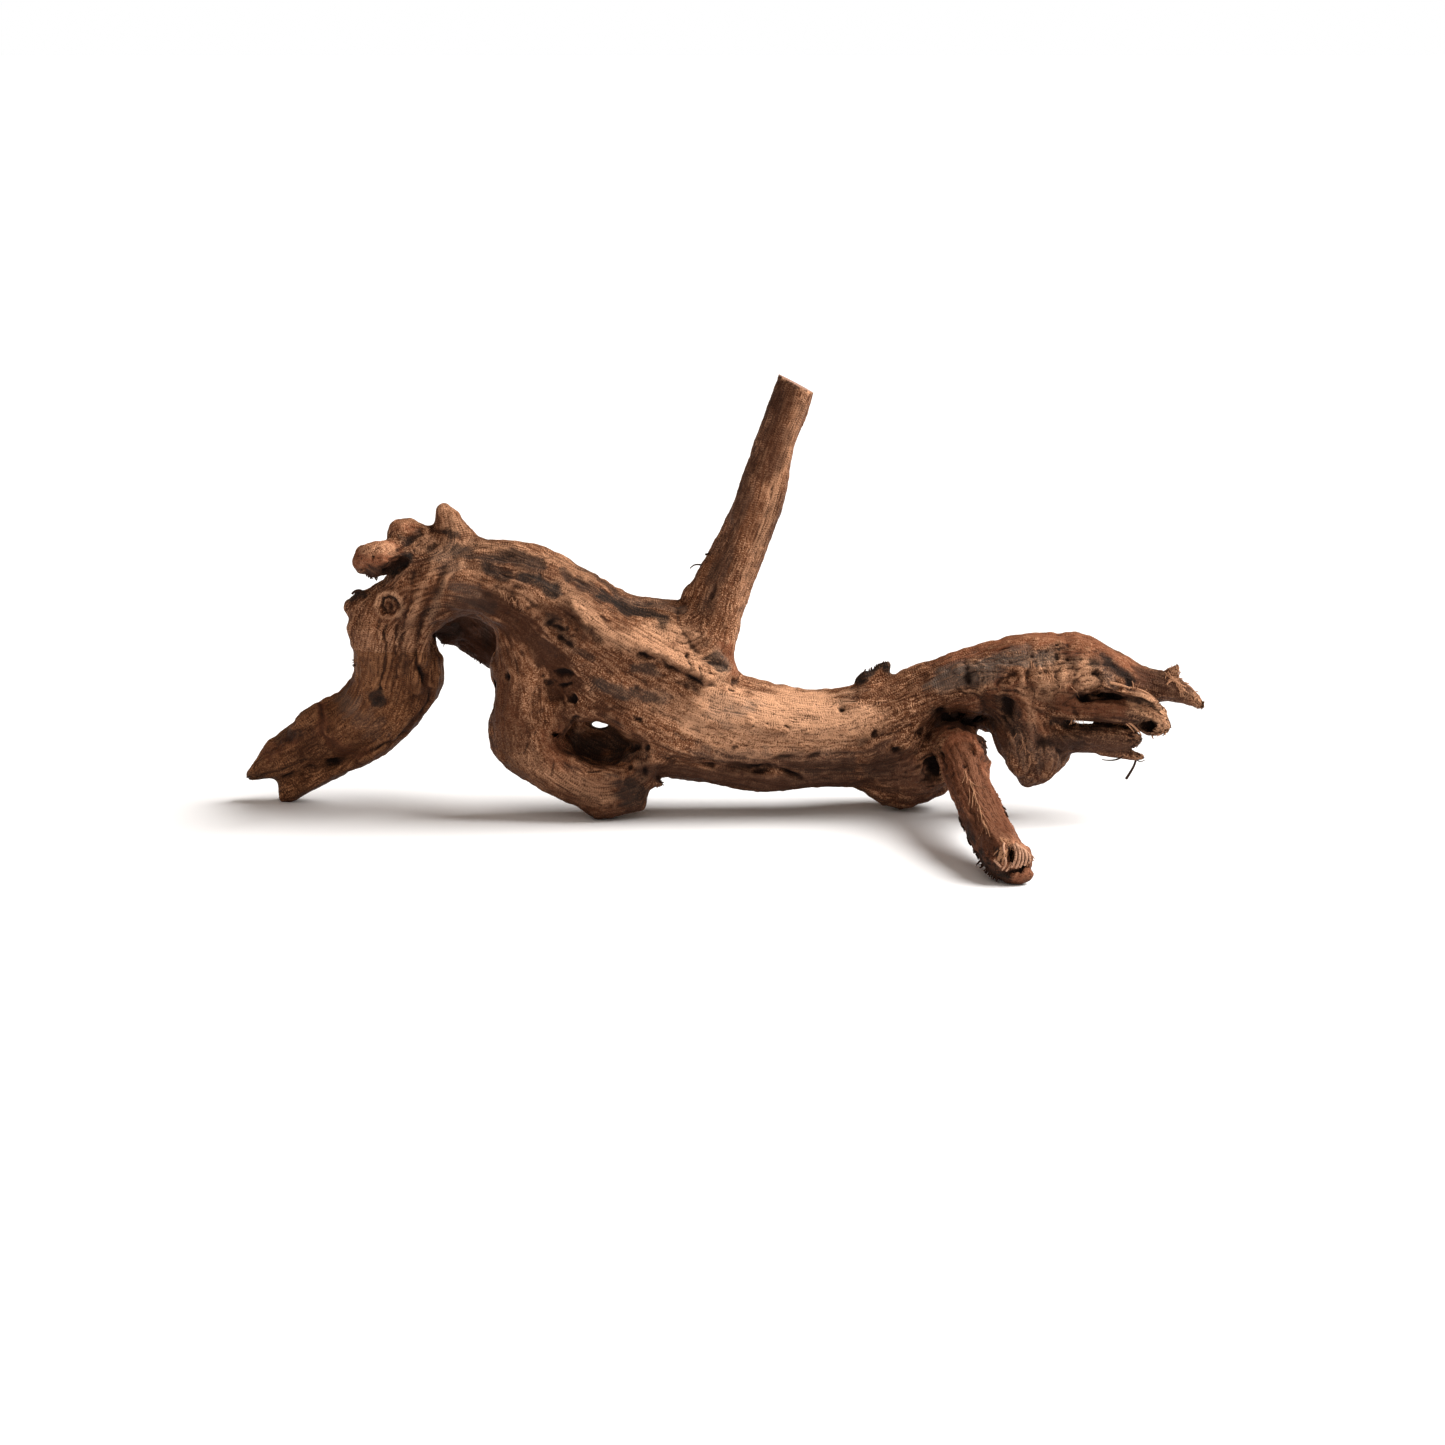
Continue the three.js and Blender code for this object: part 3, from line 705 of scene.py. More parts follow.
# %% Relief of the streaks
# Pixel of the middle, half width and half height in pixels, and strength, of places with deep furrows.
FURROWED = dict(
    shoulder=(425, 590, 50, 40, 0.5),
    leg=(405, 655, 40, 50, 1),
    loop=(530, 700, 40, 60, 0.3),
    stem=(545, 575, 70, 28, 1),
    shelf=(670, 650, 50, 36, 0.8),
    cheek=(1035, 700, 36, 50, 1.4),
    crown=(1080, 670, 30, 30, 1.2),
    front_leg=(978, 790, 30, 60, 1.1),
    middle_prong=(1125, 712, 36, 12, 0.7),
    lower_prong=(1100, 742, 36, 12, 0.7),
    upper_prong=(1164, 676, 26, 13, 1.1),
    rib=(780, 775, 110, 12, 0.7),
    crown_left=(975, 672, 32, 24, 1.9),
    belly=(905, 765, 42, 30, 1),
    jaw=(1035, 758, 40, 36, 1),
    stubs=(375, 555, 25, 16, 0.9),
    trunk=(790, 725, 90, 26, 0.35),
    back_root=(470, 640, 22, 18, 1.2),
    prong_end=(1158, 720, 16, 14, 1.3),
)
# The same for places with many small pits.
PEPPERED = dict(
    crown_top=(1058, 656, 36, 14, 1),
    crown=(1060, 690, 50, 40, 0.5),
    eye=(560, 635, 20, 24, 0.9),
    bowl_right=(640, 762, 12, 30, 0.9),
    loop=(540, 745, 30, 34, 0.4),
    belly=(900, 760, 55, 30, 0.8),
    leg_tip=(290, 745, 44, 26, 0.35),
    stubs=(375, 556, 24, 14, 1),
    knee=(370, 690, 30, 20, 0.3),
    foot=(996, 850, 14, 14, 0.6),
    back_root=(470, 640, 20, 16, 0.8),
    top_stub=(450, 522, 12, 12, 0.7),
    prong_end=(1156, 718, 18, 12, 1.3),
)
# The same for places where the fibres are curly.
CURLY = dict(
    crown=(1050, 680, 55, 40, 1),
    fleece=(515, 592, 26, 16, 1),
    loop=(530, 745, 26, 30, 0.8),
    hood=(565, 620, 26, 24, 0.9),
    shelf=(700, 665, 26, 20, 0.9),
    jaw=(1030, 750, 30, 30, 0.7),
    scar=(335, 735, 30, 25, 0.5),
    crown_left=(972, 676, 26, 22, 0.8),
    prong_end=(1156, 718, 20, 14, 1),
    foot=(996, 845, 14, 14, 0.7),
)
# The same for places where the finest fibres stand out more than usual, or less where the strength is below
# 0.
GRITTY = dict(
    crown=(1066, 680, 56, 36, 0.5),
    crown_left=(968, 676, 44, 26, 1.1),
    jaw=(1035, 755, 40, 35, 0.3),
    leg_low=(310, 745, 50, 30, 0.45),
    leg=(400, 650, 40, 50, 0.15),
    stem=(520, 640, 56, 56, -0.35),
    stem_top=(560, 580, 60, 24, -0.2),
    trunk=(800, 715, 90, 35, 0.25),
    rib=(760, 776, 90, 10, -0.15),
    shoulder=(425, 585, 40, 35, 0.15),
    stubs=(372, 556, 24, 14, 0.5),
    front_leg=(980, 790, 26, 50, 0.3),
    branch=(750, 500, 50, 110, -0.2),
    prong_end=(1156, 718, 22, 14, 0.8),
    upper_prong=(1164, 676, 26, 13, 0.9),
)


def marked_areas(rows):
    """The soft oval areas of a table, added up."""
    total = np.zeros(len(at), np.float32)
    for u, v, wide, tall, strength in rows.values():
        total += strength * np.exp(-(((column - u) / wide) ** 2) - ((row - v) / tall) ** 2)
    return total * in_sight


# The same for places with a coarse, rugged surface.
RUGGED = dict(
    bowl_right=(640, 762, 16, 26, 1),
    lower_stub=(371, 556, 22, 13, 0.5),
    upper_stub=(404, 531, 16, 10, 0.5),
    top_stub=(451, 526, 14, 14, 0.45),
    prong_end=(1158, 720, 16, 14, 0.6),
    crown=(1060, 680, 40, 26, 0.3),
    belly=(930, 770, 26, 22, 0.4),
    back_root=(470, 640, 22, 18, 0.6),
)

# %% Add up the relief
# How high each kind of relief stands or how deep it is cut, in millimetres.
LUMPS_HIGH = 0.4
ROUGH_HIGH = 0.18
BANDS_HIGH = 0.2
STRANDS_HIGH = 0.09
FIBRES_HIGH = 0.05
SPECKS_HIGH = 0.06
RUGGED_HIGH = 0.5
CRACKS_DEEP = 0.25
FURROWS_DEEP = 0.4
FURROW_FIBRES_HIGH = 0.16
PEPPER_DEEP = 0.4
FULL_LUMPS = 13.0  # a limb of this thickness, from its middle out, bears the full lumps
BRANCH_PLAINER = 0.55  # the share by which the branch is plainer than the roots

rough = evened(speckle(at, 3.6, 2.9))
streaky = np.clip(0.6 + 0.5 * patches, 0.1, 1.6)
furrowed = marked_areas(FURROWED)
height = (LUMPS_HIGH * lumps + ROUGH_HIGH * rough) * np.clip(girth(at) / FULL_LUMPS, 0.35, 1)
height *= 1 - BRANCH_PLAINER * (np.clip((at[:, 2] - 80) / 20, 0, 1) * (at[:, 0] > -30))
height += BANDS_HIGH * band + streaky * STRANDS_HIGH * broad
height -= np.clip(patches - 0.3, 0, 1.2) * CRACKS_DEEP * hump((broad + 0.5) / 0.3)
height += streaky * FIBRES_HIGH * narrow
height += SPECKS_HIGH * evened(speckle(at, 1.6, 6.1)) + RUGGED_HIGH * marked_areas(RUGGED) * rough
height -= furrowed * FURROWS_DEEP * hump(broad / 0.22)
height += furrowed * FURROW_FIBRES_HIGH * narrow
pepper = np.clip(8 * (speckle(at, 1.7, 13.7) - 0.73), 0, 1) * marked_areas(PEPPERED)
height -= PEPPER_DEEP * pepper
# Painted shade: the bottoms of the pits are darkened.
recess_shade = (0.75 * np.clip(pepper, 0, 1)).astype(np.float32)
print("relief of the streaks:", round(float(height.min()), 2), "to", round(float(height.max()), 2), "mm")

# %% [markdown]
# ## Marks from the photograph
# Each mark is a row of pixels with a width, and a depth for a groove or a height for a ridge. Nothing on
# wood is ruled, so every vertex's pixel is first shaken a little by slow noise, and a groove is cut deeper
# in some places than in others.

# %% Grooves, ridges and cracks
# Row of pixels, and half width and depth in millimetres.
GROOVES = dict(
    leg_and_strand=([(416, 656), (423, 676), (430, 690), (430, 702), (416, 722), (397, 739), (364, 755),
                     (322, 766), (280, 778)], 1.4, 1.6),
    strand_top=([(424, 618), (418, 638), (416, 656)], 1.6, 0.7),
    shoulder_fold=([(450, 560), (438, 583), (427, 608), (418, 636), (412, 660)], 2.2, 0.9),
    shoulder_fold_left=([(424, 556), (413, 572), (404, 596), (399, 618), (397, 640)], 2, 0.8),
    leg_scar=([(319, 705), (321, 719), (323, 732), (332, 742), (347, 750), (363, 753)], 1.3, 0.45),
    leg_scar_inner=([(332, 710), (329, 721), (330, 735), (336, 745)], 1, 0.4),
    leg_scar_low=([(300, 764), (318, 760), (336, 752)], 0.9, 0.5),
    tip_crack=([(256, 764), (268, 752), (282, 744)], 0.8, 0.6),
    leg_tip=([(258, 778), (278, 769), (304, 762)], 0.8, 0.8),
    stub_root=([(398, 548), (408, 540), (420, 531)], 1.6, 1.2),
    stub_under=([(385, 570), (398, 562), (407, 551)], 2, 1.5),
    top_stub_foot=([(432, 528), (446, 533), (460, 537)], 1.3, 0.8),
    stem_line=([(460, 552), (486, 559), (512, 556), (540, 565), (566, 577), (601, 604)], 1.2, 0.7),
    stem_line_low=([(500, 571), (530, 583), (556, 597)], 1.2, 0.6),
    eye_crack=([(510, 593), (518, 610), (525, 613)], 0.6, 0.6),
    eye_crack_right=([(526, 609), (537, 606), (558, 601), (571, 604)], 1, 0.6),
    ridge_shadow=([(575, 612), (590, 632), (612, 650), (650, 664), (690, 684), (712, 700)], 2.6, 1),
    lip_line=([(574, 720), (592, 708), (625, 708), (655, 722), (690, 742), (730, 758),
               (770, 760)], 1.5, 0.6),
    seam=([(648, 756), (680, 757), (702, 762), (742, 767), (773, 766), (800, 778)], 1.1, 1.6),
    seam_upper=([(655, 743), (672, 751), (693, 760), (714, 765)], 1, 0.9),
    rib_line=([(660, 768), (702, 773), (744, 781), (790, 786)], 0.9, 0.6),
    rib_line_low=([(800, 778), (835, 780), (862, 775)], 1, 0.7),
    trunk_edge=([(770, 757), (800, 757), (843, 753), (868, 742), (895, 730)], 1.8, 1.1),
    trunk_crack=([(780, 769), (792, 776), (806, 782)], 0.8, 0.9),
    belly_crack=([(879, 740), (895, 732), (911, 724)], 0.7, 0.6),
    branch_foot=([(676, 606), (680, 629), (693, 648), (712, 662), (726, 668)], 1.4, 0.8),
    branch_flute=([(778, 392), (762, 440), (742, 500), (722, 560), (706, 610)], 1.6, 0.6),
    branch_flute_right=([(797, 400), (783, 450), (768, 510), (752, 560), (738, 620)], 1.2, 0.5),
    slot=([(941, 714), (952, 719), (979, 723)], 2.2, 2.2),
    crown_collar=([(946, 690), (971, 695), (981, 700), (984, 712), (979, 722)], 1.4, 0.8),
    crown_groove=([(1105, 655), (1113, 665), (1125, 676), (1131, 686)], 2, 1.4),
    cheek_crease=([(995, 690), (1000, 680), (1012, 676)], 1, 0.8),
    cheek_low=([(1006, 716), (1009, 724)], 1.6, 1.2),
    crown_folds=([(1057, 664), (1056, 676), (1062, 690)], 0.8, 0.5),
    crown_folds_right=([(1071, 664), (1074, 676), (1073, 690)], 0.8, 0.5),
    crown_folds_left=([(1026, 672), (1029, 684), (1034, 696)], 0.8, 0.6),
    bump_arc=([(1094, 674), (1101, 682), (1100, 690)], 0.9, 0.8),
    over_middle_prong=([(1080, 698), (1102, 694), (1124, 698), (1144, 702), (1158, 708)], 1.2, 1.8),
    mouth=([(1050, 724), (1065, 722), (1100, 723), (1138, 724)], 1.2, 0.6),
    jaw_shadow=([(1042, 743), (1062, 748), (1084, 745)], 2.2, 1),
    loop_crack=([(525, 751), (529, 744), (534, 741), (538, 731)], 0.7, 0.5),
    loop_crack_low=([(550, 775), (553, 768), (556, 762)], 0.7, 0.4),
    leg_crack=([(386, 626), (385, 645), (385, 660), (384, 675), (381, 690)], 0.8, 1.7),
    leg_line_a=([(397, 626), (394, 650), (396, 676)], 0.8, 0.7),
    leg_line_b=([(380, 622), (378, 650), (377, 676)], 0.8, 0.5),
    leg_line_c=([(412, 592), (405, 616), (403, 640)], 0.9, 0.5),
    knot_ring=([(381, 603), (383, 597), (389, 595), (395, 598), (398, 604), (396, 611), (390, 614),
                (384, 611), (381, 604)], 0.75, 1.4),
    knot_core=([(386, 601), (390, 605), (388, 610)], 0.7, 0.9),
    leg_crack_fine=([(395, 621), (387, 634)], 0.5, 0.5),
    foot_split=([(1000, 871), (1008, 873), (1019, 870.5), (1034, 863)], 1, 1.6),
    shelf_tear=([(687, 656), (689, 670)], 1, 1.4),
    shelf_tear_right=([(697, 668), (702, 682)], 1, 1.5),
    shelf_edge=([(640, 654), (664, 664), (688, 676), (704, 685), (722, 685)], 1.3, 2.1),
    stem_furrow=([(575, 578), (600, 592), (622, 600)], 1.4, 0.8),
    stem_furrow_low=([(500, 568), (512, 577)], 1.6, 0.7),
    crown_step=([(1000, 664), (1022, 660), (1040, 654)], 1, 0.6),
    cheek_arc=([(1014, 690), (1018, 704), (1016, 720), (1010, 734)], 1.2, 0.7),
)
# Row of pixels, and half width and height in millimetres.
RIDGES = dict(
    brow=([(534, 616), (541, 606), (555, 601), (570, 604), (582, 616), (586, 632)], 1.8, 1.4),
    knot_foot=([(398, 612), (402, 619)], 1.2, 0.5),
    wrinkle_a=([(1033, 654), (1038, 664), (1036, 676), (1041, 690)], 1, 0.6),
    wrinkle_b=([(1048, 660), (1052, 672), (1047, 684), (1052, 698)], 0.8, 0.45),
    wrinkle_c=([(1064, 664), (1061, 676), (1067, 688)], 0.8, 0.45),
    wrinkle_d=([(1020, 664), (1030, 668), (1034, 680)], 1, 0.5),
    jaw_rib=([(1012, 735), (1022, 755), (1030, 775)], 1.8, 0.6),
    leg_rib=([(436, 562), (421, 590), (413, 614), (407, 645), (413, 676), (420, 700)], 1.8, 0.5),
    leg_rib_left=([(404, 570), (396, 590)], 1.4, 0.4),
    shoulder_rib=([(462, 562), (448, 578), (437, 600), (430, 622), (427, 642)], 2, 0.6),
    scar_lip=([(326, 712), (323, 726), (336, 742), (356, 752)], 0.9, 0.4),
    stem_ridge=([(575, 600), (588, 620), (605, 634), (630, 642), (660, 650), (685, 663),
                 (706, 681)], 2.6, 1),
    stem_ridge_upper=([(640, 620), (660, 636), (683, 650), (708, 665), (722, 680)], 1.8, 0.7),
    stem_ridge_top=([(470, 543), (520, 552), (560, 563), (590, 582)], 1.8, 0.5),
    lip=([(570, 722), (585, 712), (610, 706), (640, 714), (668, 732)], 1.8, 0.6),
    cheek_rib=([(1020, 674), (1026, 700), (1033, 720), (1030, 740)], 1.8, 1.1),
    cheek_ring=([(996, 700), (1000, 690), (1008, 687), (1015, 694), (1017, 708), (1013, 722)], 1.1, 0.7),
    shelf_lip=([(640, 646), (664, 656), (688, 668), (706, 678), (720, 678)], 1.4, 1.7),
    grey_eye_rim=([(972, 668), (980, 665), (986, 672), (986, 684), (980, 692)], 1.4, 0.9),
    crown_bump=([(1080, 684), (1092, 683)], 1.6, 0.5),
    knobs=([(1036, 664), (1045, 676), (1041, 690)], 1.6, 0.5),
    foot_knot=([(988, 838), (994, 845), (999, 851)], 2.8, 1.6),
    knot_rim=([(376, 604), (379, 596), (386, 591), (394, 592), (401, 598), (403, 606), (399, 614),
               (391, 618), (382, 616), (377, 609), (376, 604)], 1.1, 0.9),
    hood=([(560, 608), (574, 612), (584, 624), (588, 636)], 2, 0.7),
    eye_swirl=([(956, 670), (964, 661), (977, 660), (990, 668), (992, 682)], 0.9, 0.7),
    eye_swirl_low=([(958, 688), (968, 695), (982, 692)], 0.9, 0.6),
    eye_swirl_inner=([(976, 668), (981, 676), (979, 688)], 0.8, 0.6),
    leg_front_rib=([(966, 748), (974, 780), (984, 812), (996, 838)], 1.5, 0.4),
)
SHAKE = 5.0  # photo pixels
FINE_SHAKE = 2.4  # photo pixels


def shaken(pixel, slow_shift, fine_shift):
    """A row or a column of the photograph's pixels, shaken a little by slow and by fine noise."""
    slow = SHAKE * (speckle(at, 6, slow_shift) - 0.5)
    return pixel + slow + FINE_SHAKE * (speckle(at, 2.2, fine_shift) - 0.5)


shaken_column = shaken(column, 0.7, 8.8)
shaken_row = shaken(row, 4.9, 3.1)
fickle = np.clip(1.7 * speckle(at, 5, 12.3) + 0.15 * broad - 0.05, 0.25, 1.4)


def row_distance(line):
    """The vertices near a row of pixels, and how far each is from it, in millimetres."""
    corners = np.array(line, float)
    low, high = corners.min(0) - 40, corners.max(0) + 40
    beside = (column > low[0]) & (column < high[0]) & (row > low[1]) & (row < high[1])
    near = np.flatnonzero(beside & in_sight)
    pixel = np.stack([shaken_column[near], shaken_row[near]], axis=1)
    best = np.full(len(near), np.inf)
    for start, end in zip(corners[:-1], corners[1:]):
        best = np.minimum(best, np.linalg.norm(from_span(pixel, start, end)[1], axis=1))
    return near, (best * depth[near] / FOCAL_PIXELS).astype(np.float32)


for line, width, deep in GROOVES.values():
    near, far = row_distance(line)
    steady = np.maximum(fickle[near], 0.8 if width < 1 else 0.0)
    height[near] -= deep * (hump(far / width) * sight[near] * steady)
    # Painted shade: the bottom of each groove is darkened.
    dark = np.clip(deep / 2.2, 0, 0.9) * hump(far / (0.8 * width)) * fickle[near]
    recess_shade[near] = np.maximum(recess_shade[near], dark * sight[near])
for line, width, tall in RIDGES.values():
    near, far = row_distance(line)
    height[near] += tall * hump(far / width) * sight[near] * (0.5 + 0.6 * fickle[near])
print("grooves and ridges:", len(GROOVES) + len(RIDGES))

# %% Pits and hollows
# Pixel, half width and half height in pixels, lean in degrees, and depth in millimetres.
PITS = dict(
    eye_socket=(561, 627, 15, 15, 20, 1.9), bar_pit=(604, 618, 7, 3.4, 35, 0.8),
    upper_hollow=(551, 624, 4.4, 5, 20, 1.5), upper_hollow_mid=(559, 629, 7, 3.4, 10, 1.5),
    upper_hollow_low=(561, 638, 5, 3.6, 30, 1.4), upper_hollow_end=(570, 643, 5, 2.8, 40, 1.2),
    hood_speck=(572, 617, 2.6, 2.2, 0, 0.7), hood_speck_low=(577, 629, 2.4, 2, 0, 0.6),
    hood_speck_right=(574, 636, 2.6, 1.8, 0, 0.7), pit_a=(562, 673, 8.5, 3.2, 12, 2.2),
    pit_b=(550, 683, 4, 3.4, 0, 1.2), pit_c=(563, 684.5, 5, 3, -10, 1.8),
    pit_d=(570, 699, 5, 3.6, -25, 2), pit_e=(543, 675, 2.4, 2, 0, 0.9),
    pit_f=(546, 681, 2.4, 2.4, 0, 0.9), pit_g=(555, 680, 2, 2, 0, 0.8),
    tear_pit=(734, 681, 2.4, 4, 10, 1), tear_pit_low=(732, 691, 3, 2, 0, 0.8),
    side_pit=(509, 677, 3.4, 4.2, 40, 1.7), rim_pit=(574, 719, 5, 3.4, -20, 1.6),
    rim_slit=(637, 720.5, 6, 2, 25, 1.6), bowl_pit=(632, 749, 4, 4, 0, 1.4),
    bowl_pit_low=(630, 766, 3, 3, 0, 1.2), bowl_slit=(594, 770.5, 6, 1.6, 0, 0.9),
    corner_pit=(647, 749, 4, 3.4, 0, 1.6), corner_pit_low=(645, 772, 3.4, 4.4, 0, 1.4),
    trunk_a=(769, 724, 2.4, 1.6, 30, 0.8), trunk_b=(752, 728, 3, 1.6, 0, 0.7),
    trunk_c=(788, 727, 3.4, 1.8, 0, 0.9), trunk_d=(735, 747, 3.4, 1.6, 0, 0.7),
    trunk_e=(840, 710, 3.4, 3.4, 0, 1.5), trunk_f=(877, 734, 3, 4, 10, 1.3),
    trunk_g=(922, 732, 4, 4, 0, 1.2), belly_knot=(898, 749, 7.5, 4.4, 0, 1.6),
    seam_pocket=(761, 771, 10, 3.6, 0, 1.4), leg_pit=(935, 767, 8.5, 16, 0, 2.2),
    grey_eye=(967, 678, 3.4, 6.5, 10, 1.2), cheek=(1006, 708, 5.5, 11, 0, 2.6),
    crown_top=(1006, 650, 6, 1.8, -5, 0.9), crown_pit_a=(1057, 646, 3, 2.4, 0, 1.2),
    crown_pit_b=(1056, 657, 3, 2.8, 0, 1.2), crown_pit_c=(1067, 645, 2.4, 2, 0, 0.9),
    crown_pit_d=(1067, 659, 2.4, 2.4, 0, 0.9), crown_pit_e=(1096, 672, 5, 4, 30, 1.1),
    crown_pit_f=(1046, 652, 2, 2, 0, 0.8), crown_pit_g=(1032, 656, 2.2, 2, 0, 0.8),
    jaw_pit=(1059, 753, 3, 3, 0, 1.2), jaw_pit_back=(1077, 713, 4, 6, 0, 1),
    shin_a=(953, 774, 2.6, 3.4, 0, 1.1), shin_b=(964, 767, 2.4, 3.2, 10, 1),
    foot_hole=(1012, 857, 4, 7, 5, 3), branch_pit=(710, 596, 2.6, 3.4, 0, 0.8),
    torn_hollow=(1149, 727, 8, 4, 15, 1.5), ringed_knot=(391, 607, 3, 4, 20, 0.9),
    stain_pit=(377, 699, 4, 3.4, 0, 0.8), tip_hollow=(290, 736, 8, 3.2, -35, 0.7),
    shoulder_dent=(433, 546, 7, 4, -30, 0.9), fold_end=(1040, 672, 3, 2, 40, 0.8),
)


def soft_edge(far, edge, hardness):
    """1 inside an edge and 0 outside it, with a soft change between them."""
    return 1 / (1 + np.exp(np.clip(hardness * (far - edge), -30, 30)))


for u, v, wide, tall, lean, deep in PITS.values():
    c, s = math.cos(math.radians(lean)), math.sin(math.radians(lean))
    du, dv = shaken_column - u, shaken_row - v
    far = np.hypot((c * du + s * dv) / wide, (-s * du + c * dv) / tall) * (1 + 0.1 * narrow)
    height -= deep * (soft_edge(far, 0.9, 6) * sight)
    # Painted shade: the middle of each pit is darkened.
    dark = min(1, deep / 1.8) * (wide < 12)
    recess_shade = np.maximum(recess_shade, np.clip(1.25 - far, 0, 1) ** 0.7 * dark * sight)
print("pits:", len(PITS))

# %% [markdown]
# ## Knots and the back
# The ringed knots get their rings. The photograph doesn't show the back, so its grooves, pits and dents are
# the builder's own, drawn at random places by a fixed seed: long shallow hollows along the grain, a few
# cracks and small round holes, like those of the front.

# %% Rings of the knots, and marks at the back
RINGS_HIGH = 0.14
BIG_RINGS_HIGH = 0.2
RIM_HIGH = 0.3
SOCKET_DEEP = 1.4


def round_a_knot(vertex, size, reach, streaks, wobble):
    """The vertices near a knot, and how far each is from its middle in radii, wobbled by the streaks."""
    near = np.flatnonzero(np.abs(at - at[vertex]).max(axis=1) < reach * size)
    far = np.linalg.norm(at[near] - at[vertex], axis=1) / size
    return near, far * (1 + wobble * streaks[near])


def turned_away(edge, near=slice(None)):
    """1 where the skin faces away from the camera, fading to 0 at an edge."""
    return np.clip(edge - facing[near], 0, 0.3) / 0.3


big_knot = knots[0][0]
for vertex, size in knots:
    near, far = round_a_knot(vertex, size, 2.4, broad, 0.07)
    far += 0.25 * (speckle(at[near], 2.6, 1.3) - 0.5)
    rings = np.cos(far * size * 3.2) * np.exp(-((far / 1.1) ** 4))
    rings_high = BIG_RINGS_HIGH if vertex == big_knot else RINGS_HIGH
    height[near] += (rings_high * rings + RIM_HIGH * hump((far - 1.15) / 0.35) * (size > 3)) * fickle[near]
for vertex, size in knots[len(KNOTS):]:
    near, far = round_a_knot(vertex, size, 2, narrow, 0.12)
    cut = soft_edge(far, 0.55, 9)
    height[near] -= SOCKET_DEEP * cut
    # Painted shade in the sockets of the knots at the back.
    recess_shade[near] = np.maximum(recess_shade[near], 0.55 * cut)

# How many, length, width and depth in millimetres, and how dark the painted shade in them is.
MARKS_BEHIND = dict(
    hollows=(26, 16, 3.2, 1.3, 0.25),
    swellings=(22, 22, 4.5, -0.9, 0.0),
    cracks=(34, 9, 0.7, 0.9, 0.8),
    holes=(22, 1.6, 1.4, 1.6, 0.8),
)
hidden = np.flatnonzero((facing < 0.02) & (at[:, 2] > 4))
for count, length, width, deep, dark in MARKS_BEHIND.values():
    for vertex in chance.choice(hidden, count):
        scale = chance.uniform(0.6, 1.3)
        near = np.flatnonzero(np.abs(at - at[vertex]).max(axis=1) < 3 * length * scale)
        offset = at[near] - at[vertex]
        along = offset @ way_here[vertex]
        side = offset @ np.cross(out[vertex], way_here[vertex]) + 0.4 * broad[near]
        lift = offset @ out[vertex]
        mask = np.exp(-((along / length) ** 2 + (side / width) ** 2) / scale**2 - (lift / (6 + width)) ** 2)
        mask *= turned_away(0.1, near)
        height[near] -= deep * scale * mask
        # Painted shade in the hollows, cracks and holes at the back.
        recess_shade[near] = np.maximum(recess_shade[near], dark * mask)
print("knots behind:", len(KNOTS_BEHIND), "and marks behind:", sum(row[0] for row in MARKS_BEHIND.values()))

# %% [markdown]
# ## Broken ends
# The prongs, the foot and the left tip end in torn fibres. Close to each end the fibres are pushed along
# the grain by different amounts, in bundles a millimetre or so thick, so that the end turns ragged.

# %% Ragged ends
# Drawn place of each end, how far from it the raggedness reaches, and the length of the teeth, all in
# millimetres.
TORN_ENDS = dict(
    left_tip=((-204, 27, 10), 9, 3.0),
    left_strand=((-190, 27, 2), 6, 1.6),
    upper_prong=((202, -1, 46), 7, 3.0),
    upper_prong_stub=((191, -1, 64), 4, 2.0),
    middle_prong=((186, -9, 39), 9, 3.4),
    lower_prong=((173, -6, 34), 7, 4.0),
    shard=((176, -4, 26), 5, 2.4),
    splinter=((182, -12.4, 49), 5, 2.4),
    spur=((-25, -5, 14.5), 5, 2.2),
    foot=((115, -117, 6), 8, 0.9),
    lower_stub=((-155, -3, 109), 5, 0.8),
    sawn_rim=((30.4, 8, 181.6), 10, 0.5),
)
TEAR_REACH = 1.3  # the share of the reach at which the teeth end
SQUEEZE = 0.85  # the speckle is drawn out into bundles by squeezing the places along the grain
TEAR_BACK = 0.62  # a speckle over this pushes the fibres out, and under it pulls them in

slide = np.zeros(len(at), np.float32)
for end, reach, teeth in TORN_ENDS.values():
    far = np.linalg.norm(at - np.float32(end), axis=1) / reach
    near = np.flatnonzero(far < TEAR_REACH)
    along = dots(at[near], way_here[near])
    squeezed = at[near] - SQUEEZE * along[:, None] * way_here[near]
    close = np.clip(TEAR_REACH - far[near], 0, 1)
    slide[near] += close * teeth * 2 * (speckle(squeezed, 1.4, 2.7) - TEAR_BACK)
print("torn ends:", len(TORN_ENDS))

# %% Carve the skin
# The branch was sawn off: what stands out beyond the plane of the saw is pressed flat onto it.
SAWN_AT = np.float32((30.4, 8, 181.6))
SAWN_UP = np.float32((0.466, 0.05, 0.883))
SAWN_REACH = 16.0
VALLEY_REPEATS = 6
DELL_REPEATS = 70

carved = at + out * height[:, None] + way_here * slide[:, None]
carved[:, 2] = np.maximum(carved[:, 2], 0)
beyond_saw = (carved - SAWN_AT) @ SAWN_UP
near_saw = np.linalg.norm(carved - SAWN_AT, axis=1) < SAWN_REACH
carved -= np.where(near_saw, np.clip(beyond_saw, 0, None), 0)[:, None] * SAWN_UP
put_places(skin.data, carved)
at = places(skin.data)
out = outward(skin.data)
valley = dots(softened(VALLEY_REPEATS) - at, out)
dell = dots(softened(DELL_REPEATS) - at, out)
print("carved by", round(float(height.min()), 2), "to", round(float(height.max()), 2), "mm")
